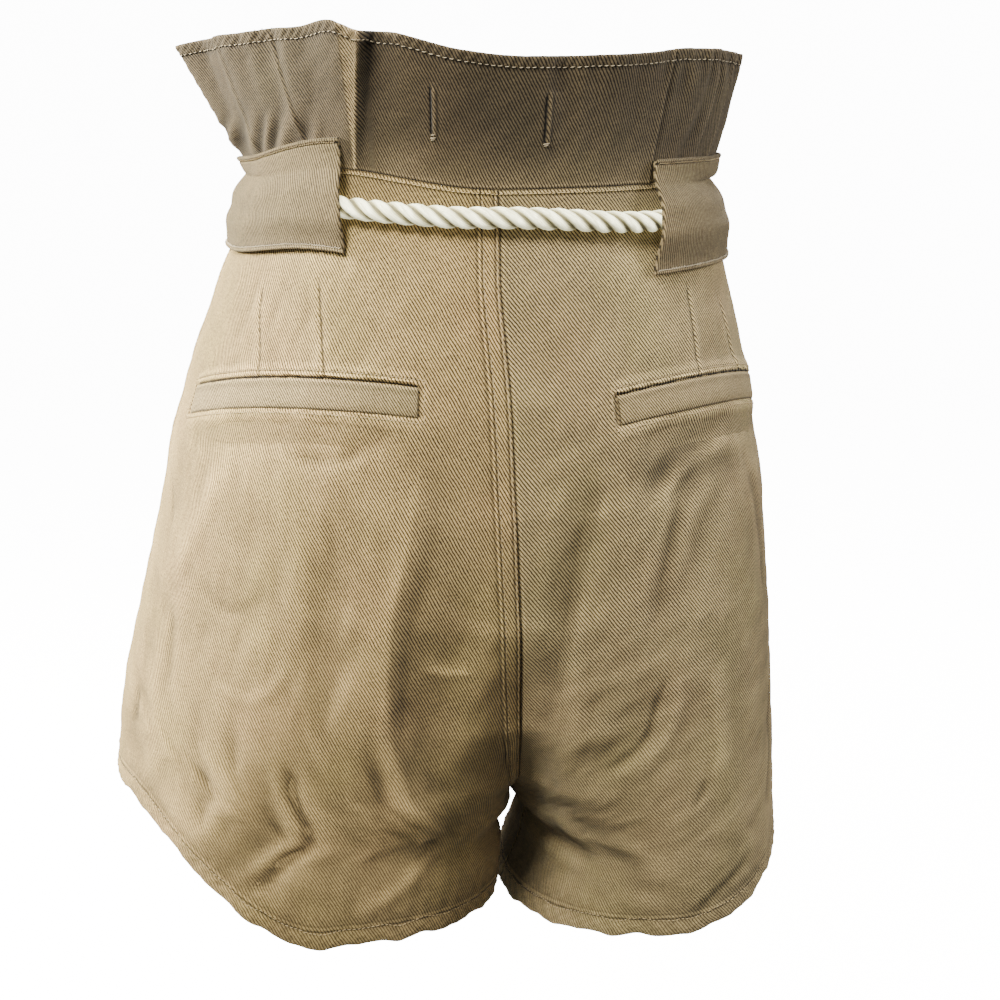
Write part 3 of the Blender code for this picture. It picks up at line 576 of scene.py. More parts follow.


# Painted shade in broad hollows and painted light on a few rises: a negative depth is the share of light they lose
# beside their path, a positive one the share they gain
SHADES = (
    Crease(
        Side.LEFT, ((0.17, 0.25), (0.205, 0.40), (0.25, 0.53), (0.27, 0.64), (0.28, 0.76), (0.30, 0.90)),
        -0.40, 4, 46, 0.1, 0.28,
    ),
    Crease(Side.LEFT, ((0.34, 0.66), (0.33, 0.78), (0.35, 0.95)), -0.14, 3, 16, 0.2, 0.3),
    Crease(Side.LEFT, ((0.10, 0.585), (0.20, 0.59)), 0.30, 7, 7, 0.1, 0.3),
    Crease(Side.LEFT, ((0.44, 0.70), (0.42, 0.80), (0.44, 0.95)), -0.14, 10, 4, 0.2, 0.3),
    Crease(Side.LEFT, ((0.69, 0.45), (0.72, 0.55), (0.70, 0.66)), -0.12, 14, 14, 0.0, 0.3),
    Crease(Side.LEFT, ((0.24, 0.27), (0.45, 0.275), (0.70, 0.34)), -0.14, 9, 16, 0.1, 0.15),
    Crease(Side.LEFT, ((0.03, 0.58), (0.05, 0.75), (0.06, 0.97)), -0.30, 34, 30, 0.0, 0.25),
    Crease(Side.LEFT, ((0.30, 0.97), (0.45, 0.98), (0.62, 0.99)), -0.18, 16, 16, 0.0, 0.25),
    Crease(Side.LEFT, ((0.93, 0.25), (0.96, 0.50), (0.93, 0.75)), 0.30, 26, 26, 0.0, 0.3),
    Crease(Side.RIGHT, ((0.72, 0.34), (0.74, 0.60), (0.70, 0.92)), -0.24, 40, 30, 0.0, 0.25),
    Crease(Side.RIGHT, ((0.40, 0.03), (0.40, 0.12), (0.34, 0.22)), 0.18, 26, 22, 0.0, 0.3),
    Crease(Side.RIGHT, ((0.10, 0.82), (0.30, 0.90), (0.45, 0.93)), -0.16, 18, 18, 0.0, 0.25),
    Crease(
        Side.RIGHT, ((0.23, 0.28), (0.145, 0.44), (0.10, 0.56), (0.075, 0.64), (0.05, 0.72)), -0.30, 26, 4,
        0.1, 0.3,
    ),
    Crease(Side.RIGHT, ((0.24, 0.31), (0.16, 0.44), (0.115, 0.56), (0.09, 0.64)), 0.16, 4, 9, 0.1, 0.3),
    Crease(Side.RIGHT, ((0.20, 0.335), (0.38, 0.345), (0.62, 0.36)), -0.46, 17, 17, 0.0, 0.2),
    Crease(Side.RIGHT, ((0.45, 0.33), (0.36, 0.42), (0.34, 0.52)), -0.24, 10, 10, 0.0, 0.3),
    Crease(Side.RIGHT, ((0.335, 0.60), (0.305, 0.64), (0.275, 0.70), (0.20, 0.74)), -0.20, 12, 4, 0.1, 0.3),
)


def crease_lift(form: BodyForm, grid: np.ndarray, normals: np.ndarray, crease: Crease) -> np.ndarray:
    """The lift of one crease at every point of a grid.

    Args:
        form: the worn form.
        grid: the smooth cloth.
        normals: its outward directions.
        crease: the crease.

    Returns:
        The lift in millimetres.
    """
    path = smooth_path(crease.path)
    line = form.points(crease.side, path[:, 0], path[:, 1])
    reach = max(crease.left, crease.right)
    lift = np.zeros(grid.shape[:2])
    near = np.all((grid > line.min(0) - reach) & (grid < line.max(0) + reach), axis=2)
    rows, columns = np.nonzero(near)
    if not len(rows):
        return lift
    here = grid[rows, columns]
    run = np.diff(line, axis=0)
    size = np.linalg.norm(run, axis=1)
    offset = here[:, None, :] - line[None, :-1, :]
    t = np.clip(np.einsum("pkc,kc->pk", offset, run) / size**2, 0, 1)
    gap = offset - t[..., None] * run[None]
    distance = np.linalg.norm(gap, axis=2)
    best = np.argmin(distance, axis=1)
    pick = np.arange(len(best))
    total = running_length(line)
    share = (total[best] + t[pick, best] * size[best]) / total[-1]
    hand = np.einsum("pc,pc->p", np.cross(normals[rows, columns], run[best]), gap[pick, best])
    width = np.where(hand > 0, crease.right, crease.left)
    far = np.clip(distance[pick, best] / width, 0, 1)
    profile = (1 - crease.sharp) * (1 - far**2) ** 2 + crease.sharp * (1 - far) ** 2.4
    ends = ease(share / crease.fade) * ease((1 - share) / crease.fade)
    lift[rows, columns] = crease.depth * profile * ends
    return lift


def small_wrinkles(u: np.ndarray, v: np.ndarray, seed: int) -> np.ndarray:
    """The slight unevenness of worn cotton, from a few seeded waves that bend each other.

    Args:
        u: distance across the cloth, in millimetres.
        v: distance down the cloth.
        seed: the seed.

    Returns:
        A lift in millimetres.
    """
    rng = np.random.default_rng(seed)
    bend_u = u + 9 * np.sin(v / 31 + rng.uniform(0, 6)) + 5 * np.sin(u / 23 + rng.uniform(0, 6))
    bend_v = v + 8 * np.sin(u / 37 + rng.uniform(0, 6)) + 6 * np.sin(v / 19 + rng.uniform(0, 6))
    lift = np.zeros_like(u)
    for long, height in ((74, 0.15), (52, 0.12), (38, 0.11), (27, 0.11), (19, 0.09), (12, 0.06), (8, 0.035)):
        for _ in range(2):
            angle = rng.uniform(0, math.pi)
            phase = (bend_u * math.cos(angle) + bend_v * math.sin(angle)) * 2 * math.pi / long
            lift += height * np.sin(phase + rng.uniform(0, 6.28))
    return lift


# Finishes ----------------------------------------------------------------------------------------


class NodeGraph:
    """A small hand for laying out the nodes of a material."""

    def __init__(self, name: str) -> None:
        """Starts a material with a Principled shader."""
        self.material = bpy.data.materials.new(name)
        self.material.use_nodes = True
        self.tree = self.material.node_tree
        self.shader = self.tree.nodes["Principled BSDF"]

    def node(self, kind: str, **settings: object) -> bpy.types.Node:
        """Adds a node and sets its properties."""
        made = self.tree.nodes.new(kind)
        for key, value in settings.items():
            setattr(made, key, value)
        return made

    def feed(self, socket: bpy.types.NodeSocket, value: object) -> None:
        """Links a socket, or sets its value."""
        if isinstance(value, bpy.types.NodeSocket):
            self.tree.links.new(value, socket)
        else:
            socket.default_value = value

    def math(self, operation: str, *values: object) -> bpy.types.NodeSocket:
        """A Math node.

        Args:
            operation: its operation.
            values: sockets or numbers.

        Returns:
            Its output.
        """
        made = self.node("ShaderNodeMath", operation=operation)
        for index, value in enumerate(values):
            self.feed(made.inputs[index], value)
        return made.outputs[0]

    def parts(self, vector: object) -> list[bpy.types.NodeSocket]:
        """The three parts of a vector."""
        made = self.node("ShaderNodeSeparateXYZ")
        self.feed(made.inputs[0], vector)
        return list(made.outputs)

    def step(self, value: object, low: float, high: float, start: float = 0.0) -> bpy.types.NodeSocket:
        """A soft step of a value from start at low to 1 at high."""
        made = self.node("ShaderNodeMapRange", interpolation_type="SMOOTHSTEP")
        for index, item in enumerate((value, low, high, start, 1.0)):
            self.feed(made.inputs[index], item)
        return made.outputs[0]

    def mix(self, share: object, first: object, second: object, blend: str = "MIX") -> bpy.types.NodeSocket:
        """A colour mix.

        Args:
            share: how much of the second.
            first: a colour.
            second: a colour.
            blend: how they are mixed.

        Returns:
            The mixed colour.
        """
        made = self.node("ShaderNodeMix", data_type="RGBA", blend_type=blend)
        self.feed(made.inputs["Factor"], share)
        self.feed(made.inputs[6], first)
        self.feed(made.inputs[7], second)
        return made.outputs[2]

    def noise(
        self, vector: object, scale: float, detail: float = 2.0, rough: float = 0.5,
    ) -> bpy.types.NodeSocket:
        """A noise from 0 to 1 over a vector."""
        made = self.node("ShaderNodeTexNoise")
        self.feed(made.inputs["Vector"], vector)
        made.inputs["Scale"].default_value = scale
        made.inputs["Detail"].default_value = detail
        made.inputs["Roughness"].default_value = rough
        return made.outputs["Fac"]

    def stretched(self, vector: object, size: tuple[float, float, float]) -> bpy.types.NodeSocket:
        """A vector stretched along its axes."""
        made = self.node("ShaderNodeMapping")
        self.feed(made.inputs["Vector"], vector)
        made.inputs["Scale"].default_value = size
        return made.outputs["Vector"]

    def bump(self, height: object, distance: float, strength: float = 1.0) -> None:
        """Raises the shader's surface by a height."""
        made = self.node("ShaderNodeBump")
        made.inputs["Distance"].default_value = distance
        made.inputs["Strength"].default_value = strength
        self.feed(made.inputs["Height"], height)
        self.tree.links.new(made.outputs["Normal"], self.shader.inputs["Normal"])


def shade(colour: tuple[float, float, float]) -> tuple[float, float, float, float]:
    """A colour with its alpha."""
    return (*colour, 1.0)


@dataclass(frozen=True)
class SewnLine:
    """A line that runs beside an edge of a piece: a ditch or needle row darkened with painted shade, or a lip lighter
    from rubbing and a painted highlight.

    Attributes:
        edge: by which of the piece's four edge distances it is measured.
        away: how far it lies from that edge, in millimetres.
        half: half its width.
        gain: what it multiplies the colour by.
    """

    edge: int
    away: float
    half: float
    gain: float


# Edge distances of a leg panel: 0 centre seam, 1 side seam, 2 hem, 3 waist seam
PLAIN_PANEL = (
    SewnLine(0, 0.0, 0.7, 0.30), SewnLine(0, 1.5, 0.6, 1.18), SewnLine(1, 0.0, 0.7, 0.35),
    SewnLine(1, 1.2, 0.6, 1.15),
    SewnLine(2, 0.5, 0.6, 1.30), SewnLine(2, 9.6, 0.7, 0.36), SewnLine(2, 11.2, 0.6, 1.22),
    SewnLine(2, 12.4, 0.7, 0.80),
    SewnLine(3, 0.0, 0.6, 0.40), SewnLine(3, 1.1, 0.6, 1.10), SewnLine(3, 2.2, 0.5, 0.48),
)
FELLED_PANEL = (
    *PLAIN_PANEL, SewnLine(0, 2.4, 0.7, 0.42), SewnLine(0, 8.6, 0.7, 0.42), SewnLine(0, 9.8, 0.6, 1.25),
    SewnLine(0, 10.9, 0.9, 0.58),
)
# Edge distances of the frill: 0 and 1 its ends, 2 its top, 3 the waist seam
FRILL_LINES = (
    SewnLine(2, 0.5, 0.6, 1.35), SewnLine(2, 5.5, 0.5, 0.50), SewnLine(2, 6.5, 0.7, 0.72),
    SewnLine(3, 0.0, 0.9, 0.35),
    SewnLine(3, 1.6, 0.6, 1.25),
)
# Edge distances of a carrier: 0 and 1 its ends, 2 its foot, 3 its top
CARRIER_LINES = (
    SewnLine(0, 0.5, 0.5, 1.30), SewnLine(1, 0.5, 0.5, 1.30), SewnLine(2, 0.8, 0.6, 1.35),
    SewnLine(2, 2.3, 0.6, 0.40),
    SewnLine(3, 0.6, 0.8, 0.80), SewnLine(3, 2.0, 0.7, 0.22),
)
# Edge distances of a pocket strip: 0 and 1 its ends, 2 its lower edge, 3 its folded upper edge
STRIP_LINES = (
    SewnLine(2, 0.4, 0.8, 0.40), SewnLine(3, 0.7, 0.7, 1.25), SewnLine(0, 0.2, 0.8, 0.4),
    SewnLine(1, 0.2, 0.8, 0.4),
)


@dataclass(frozen=True)
class TwillFinish:
    """A cotton twill: slanting ribs of warp over weft, slubs, soft mottling and a dry nap.

    Attributes:
        name: the material's name.
        rib: the colour of the rib where it catches light.
        gap: the colour between ribs, darkened with painted shade.
        across: the width of a rib across the cloth, in millimetres.
        down: the length of a rib down the cloth.
        lines: the ditches, needle rows and lips beside its edges.
        worn: how strongly patches differ from each other.
    """

    name: str
    rib: tuple[float, float, float]
    gap: tuple[float, float, float]
    across: float = 1.35
    down: float = 2.2
    lines: tuple[SewnLine, ...] = ()
    worn: float = 1.0

    def build(self) -> bpy.types.Material:
        """Lays out the material.

        Returns:
            The material.
        """
        g = NodeGraph(self.name)
        uv = g.node("ShaderNodeUVMap", uv_map=UV_NAME).outputs["UV"]
        u, v, _ = g.parts(uv)
        waver = g.noise(uv, 70.0, 2.0)
        yarn_noise = g.noise(g.stretched(uv, (1.0, 0.2, 1.0)), 1500.0, 1.0)
        phase = g.math("MULTIPLY_ADD", u, 1000.0 / self.across, g.math("MULTIPLY", v, 1000.0 / self.down))
        phase = g.math("ADD", phase, g.math("MULTIPLY", waver, 0.9))
        phase = g.math("ADD", phase, g.math("MULTIPLY", yarn_noise, 0.34))
        rib = g.math("MULTIPLY_ADD", g.math("SINE", g.math("MULTIPLY", phase, 2 * math.pi)), 0.5, 0.5)
        warp_slub = g.noise(g.stretched(uv, (1.0, 0.06, 1.0)), 1300.0, 2.0, 0.6)
        weft_slub = g.noise(g.stretched(uv, (0.07, 1.0, 1.0)), 1200.0, 2.0, 0.6)
        pepper = g.noise(g.stretched(uv, (1.0, 0.7, 1.0)), 1700.0, 1.0, 0.6)
        share = g.math(
            "MULTIPLY", g.step(rib, 0.12, 0.66),
            g.math("MULTIPLY_ADD", g.step(pepper, 0.28, 0.66), 0.42, 0.62),
        )
        share = g.math("MULTIPLY_ADD", g.step(pepper, 0.58, 0.80), 0.12, share)
        height = g.parts(g.node("ShaderNodeTexCoord").outputs["Object"])[2]
        flat = g.math(
            "MULTIPLY_ADD", g.noise(uv, 26.0, 2.0), 0.35,
            g.math("MULTIPLY_ADD", g.step(height, -0.12, -0.34), 0.34, -0.06),
        )
        flat = g.math("MULTIPLY", g.step(flat, 0.08, 0.7), 0.55)
        share = g.math("MULTIPLY_ADD", flat, g.math("SUBTRACT", 0.66, share), share)
        patch = g.noise(uv, 34.0, 3.0, 0.55)
        cloud = g.noise(uv, 11.0, 2.0, 0.5)
        tint = g.noise(g.stretched(uv, (1.0, 0.8, 1.0)), 19.0, 2.0, 0.5)
        colour = g.mix(share, shade(self.gap), shade(self.rib))
        olive = g.mix(1.0, colour, (0.88, 0.98, 0.76, 1.0), "MULTIPLY")
        pink = g.mix(1.0, colour, (1.08, 0.95, 1.02, 1.0), "MULTIPLY")
        colour = g.mix(g.math("MULTIPLY", g.step(tint, 0.50, 0.72), 0.26 * self.worn), colour, pink)
        colour = g.mix(g.math("MULTIPLY", g.step(tint, 0.50, 0.30), 0.26 * self.worn), colour, olive)
        tone = g.math("MULTIPLY_ADD", g.math("SUBTRACT", warp_slub, 0.5), 0.60, 1.0)
        tone = g.math("MULTIPLY_ADD", g.math("SUBTRACT", weft_slub, 0.5), 0.50, tone)
        tone = g.math("MULTIPLY_ADD", g.math("SUBTRACT", patch, 0.5), 0.42 * self.worn, tone)
        tone = g.math("MULTIPLY_ADD", g.math("SUBTRACT", cloud, 0.5), 0.40 * self.worn, tone)
        lines = g.parts(g.node("ShaderNodeAttribute", attribute_name=MARKS_NAME).outputs["Vector"])
        # Painted shade darkens the slits of the pockets and the frill, the stitch row above a pocket slit and the line
        # of a dart; the lips beside a slit and a dart are lighter from rubbing and a painted highlight
        slit = g.step(g.math("ABSOLUTE", lines[0]), 0.15, 0.75)
        lip = g.math("SUBTRACT", 1.0, g.step(g.math("ABSOLUTE", g.math("ADD", lines[0], 1.7)), 0.3, 1.0))
        dart = g.step(g.math("ABSOLUTE", lines[1]), 0.10, 0.75)
        dart_lip = g.math(
            "SUBTRACT", 1.0, g.step(g.math("ABSOLUTE", g.math("SUBTRACT", lines[1], 1.2)), 0.3, 0.9),
        )
        tone = g.math("MULTIPLY", tone, g.math("MULTIPLY_ADD", slit, 0.90, 0.10))
        tone = g.math("MULTIPLY", tone, g.math("MULTIPLY_ADD", lip, 0.35, 1.0))
        needle = g.step(g.math("ABSOLUTE", g.math("ADD", lines[0], 3.1)), 0.3, 0.8, 0.55)
        tone = g.math("MULTIPLY", tone, needle)
        tone = g.math("MULTIPLY", tone, g.math("MULTIPLY_ADD", dart, 0.66, 0.34))
        tone = g.math("MULTIPLY", tone, g.math("MULTIPLY_ADD", dart_lip, 0.22, 1.0))
        # The tone attribute: painted light and shade worked out on the mesh, with wear
        tone = g.math(
            "MULTIPLY", tone, g.node("ShaderNodeAttribute", attribute_name=TONE_NAME).outputs["Fac"],
        )
        edges = g.node("ShaderNodeAttribute", attribute_name=EDGES_NAME)
        distance = [*g.parts(edges.outputs["Vector"]), edges.outputs["Alpha"]]
        # Ditches and needle rows beside the edges darken with painted shade; rubbed lips lighten with wear and a
        # painted highlight
        for line in self.lines:
            gap = g.math("ABSOLUTE", g.math("SUBTRACT", distance[line.edge], line.away))
            tone = g.math("MULTIPLY", tone, g.step(gap, 0.35 * line.half, 1.1 * line.half, line.gain))
        value = g.node("ShaderNodeVectorMath", operation="SCALE")
        g.feed(value.inputs[0], colour)
        g.feed(value.inputs["Scale"], tone)
        g.feed(g.shader.inputs["Base Color"], value.outputs[0])
        g.feed(g.shader.inputs["Roughness"], g.math("MULTIPLY_ADD", rib, -0.10, 0.94))
        g.shader.inputs["Specular IOR Level"].default_value = 0.2
        g.shader.inputs["Sheen Weight"].default_value = 0.06
        g.shader.inputs["Sheen Roughness"].default_value = 0.6
        height = g.math("MULTIPLY_ADD", g.math("POWER", rib, 0.7), 1.0, g.math("MULTIPLY", pepper, 0.6))
        height = g.math("MULTIPLY_ADD", weft_slub, 0.35, height)
        height = g.math("MULTIPLY_ADD", slit, 2.0, height)
        height = g.math("MULTIPLY_ADD", dart, 1.2, height)
        g.bump(height, 0.00018, 0.9)
        return g.material


@dataclass(frozen=True)
class RopeFinish:
    """Soft cotton rope: creamy strands of many fine yarns, darker in their grooves with painted shade.

    Attributes:
        name: the material's name.
        pale: the colour of the yarns.
        warm: the colour between them, a painted shade.
        glow: how strongly the outer strands give off light, as the photo's white asks.
    """

    name: str
    pale: tuple[float, float, float]
    warm: tuple[float, float, float]
    glow: float = 5.0

    def build(self) -> bpy.types.Material:
        """Lays out the material; across the strand u runs round it and v along it, in metres.

        Returns:
            The material.
        """
        g = NodeGraph(self.name)
        uv = g.node("ShaderNodeUVMap", uv_map=UV_NAME).outputs["UV"]
        u, v, _ = g.parts(uv)
        yarn = g.math("MULTIPLY_ADD", u, 1000.0 / 0.9, g.math("MULTIPLY", v, 1000.0 / 4.2))
        yarn = g.math("ADD", yarn, g.math("MULTIPLY", g.noise(uv, 300.0, 2.0), 1.3))
        wave = g.math("MULTIPLY_ADD", g.math("SINE", g.math("MULTIPLY", yarn, 2 * math.pi)), 0.5, 0.5)
        fibre = g.noise(g.stretched(uv, (1.0, 0.12, 1.0)), 4200.0, 3.0, 0.7)
        patch = g.noise(uv, 120.0, 2.0)
        marks = g.node("ShaderNodeAttribute", attribute_name=MARKS_NAME)
        out, above, _ = g.parts(marks.outputs["Vector"])
        outer = g.step(out, 0.58, 0.99)
        # Painted light: the outer strands glow, most on their upper side
        lit = g.math("MULTIPLY", outer, g.step(above, -0.85, 0.15, 0.30))
        light = g.math(
            "MULTIPLY_ADD", g.step(wave, 0.0, 0.6), 0.30, g.math("MULTIPLY", g.step(fibre, 0.3, 0.7), 0.34),
        )
        light = g.math("MULTIPLY_ADD", g.step(patch, 0.35, 0.65), 0.34, light)
        # Painted shade: each strand darkens where it turns into the grooves
        colour = g.mix(
            g.math("MULTIPLY", light, g.math("MULTIPLY_ADD", outer, 0.90, 0.10)), shade(self.warm),
            shade(self.pale),
        )
        g.feed(g.shader.inputs["Base Color"], colour)
        g.feed(g.shader.inputs["Emission Color"], colour)
        g.feed(g.shader.inputs["Emission Strength"], g.math("MULTIPLY", lit, self.glow))
        g.feed(g.shader.inputs["Roughness"], g.math("MULTIPLY_ADD", fibre, 0.1, 0.85))
        g.shader.inputs["Specular IOR Level"].default_value = 0.2
        g.shader.inputs["Sheen Weight"].default_value = 0.2
        g.shader.inputs["Sheen Roughness"].default_value = 0.5
        g.bump(g.math("MULTIPLY_ADD", wave, 0.8, g.math("MULTIPLY", fibre, 0.9)), 0.00018, 0.7)
        return g.material


@dataclass(frozen=True)
class ThreadFinish:
    """Sewing thread: two plies twisted together.

    Attributes:
        name: the material's name.
        colour: the colour of the ply.
        dark: the colour between the plies.
    """

    name: str
    colour: tuple[float, float, float]
    dark: tuple[float, float, float]

    def build(self) -> bpy.types.Material:
        """Lays out the material.

        Returns:
            The material.
        """
        g = NodeGraph(self.name)
        uv = g.node("ShaderNodeUVMap", uv_map=UV_NAME).outputs["UV"]
        u, v, _ = g.parts(uv)
        twist = g.math("MULTIPLY_ADD", u, 2.0, g.math("MULTIPLY", v, 1000.0 / 0.55))
        ply = g.math("MULTIPLY_ADD", g.math("SINE", g.math("MULTIPLY", twist, 2 * math.pi)), 0.5, 0.5)
        fray = g.noise(g.node("ShaderNodeTexCoord").outputs["Object"], 3000.0, 2.0)
        light = g.math("MULTIPLY_ADD", fray, 0.4, g.math("MULTIPLY", ply, 0.6))
        g.feed(g.shader.inputs["Base Color"], g.mix(light, shade(self.dark), shade(self.colour)))
        g.feed(g.shader.inputs["Roughness"], g.math("MULTIPLY_ADD", fray, 0.2, 0.6))
        g.bump(ply, 0.00006, 0.6)
        return g.material


@dataclass(frozen=True)
class FloorFinish:
    """A plain pale matt floor with a trace of unevenness.

    Attributes:
        name: the material's name.
        pale: its colour.
        glow: how strongly it is lit from within, as a light table is.
    """

    name: str
    pale: tuple[float, float, float]
    glow: float = 13.0

    def build(self) -> bpy.types.Material:
        """Lays out the material.

        Returns:
            The material.
        """
        g = NodeGraph(self.name)
        place = g.node("ShaderNodeTexCoord").outputs["Object"]
        soft = g.noise(place, 3.0, 2.0)
        dim = tuple(0.985 * part for part in self.pale)
        g.feed(g.shader.inputs["Base Color"], g.mix(soft, shade(dim), shade(self.pale)))
        g.feed(g.shader.inputs["Roughness"], g.math("MULTIPLY_ADD", soft, 0.05, 0.9))
        g.shader.inputs["Emission Color"].default_value = shade((1.0, 1.0, 1.0))
        g.shader.inputs["Emission Strength"].default_value = self.glow
        return g.material


# Meshes ------------------------------------------------------------------------------------------


@dataclass
class Skin:
    """What a mesh carries at its points for its material.

    Attributes:
        uv: texture places, in metres.
        marks: signed distances to a slit, to a dart and one more, in millimetres.
        edges: distances to the four edges of the piece, in millimetres.
        tone: what the colour is multiplied by.
    """

    uv: np.ndarray
    marks: Optional[np.ndarray] = None
    edges: Optional[np.ndarray] = None
    tone: Optional[np.ndarray] = None

    def lay(self, mesh: bpy.types.Mesh) -> None:
        """Writes it all on a mesh."""
        count = len(mesh.vertices)
        layer = mesh.uv_layers.new(name=UV_NAME)
        corners = np.zeros(len(mesh.loops), np.int32)
        mesh.loops.foreach_get("vertex_index", corners)
        layer.data.foreach_set("uv", self.uv[corners].astype(np.float32).ravel())
        marks = np.full((count, 3), FAR_MARK) if self.marks is None else self.marks
        edges = np.full((count, 4), FAR_MARK * 3) if self.edges is None else self.edges
        tone = np.ones(count) if self.tone is None else self.tone
        kinds = (
            (MARKS_NAME, "FLOAT_VECTOR", "vector", marks),
            (EDGES_NAME, "FLOAT_COLOR", "color", edges),
            (TONE_NAME, "FLOAT", "value", tone),
        )
        for name, kind, field, values in kinds:
            attribute = mesh.attributes.new(name, kind, "POINT")
            attribute.data.foreach_set(field, values.astype(np.float32).ravel())


def finished_mesh(
    name: str, points: np.ndarray, faces: list, skin: Skin, material: bpy.types.Material, crisp: float = 55.0
) -> bpy.types.Object:
    """An object from points and faces, smooth but for its edges.

    Args:
        name: its name.
        points: the points, in metres.
        faces: tuples of point numbers.
        skin: what it carries at its points.
        material: its material.
        crisp: the angle in degrees past which an edge stays sharp.

    Returns:
        The object, at the origin.
    """
    mesh = bpy.data.meshes.new(name)
    mesh.from_pydata(points.tolist(), [], faces)
    skin.lay(mesh)
    mesh.shade_smooth()
    mesh.set_sharp_from_angle(angle=math.radians(crisp))
    mesh.materials.append(material)
    mesh.update()
    piece = bpy.data.objects.new(name, mesh)
    bpy.context.scene.collection.objects.link(piece)
    return piece


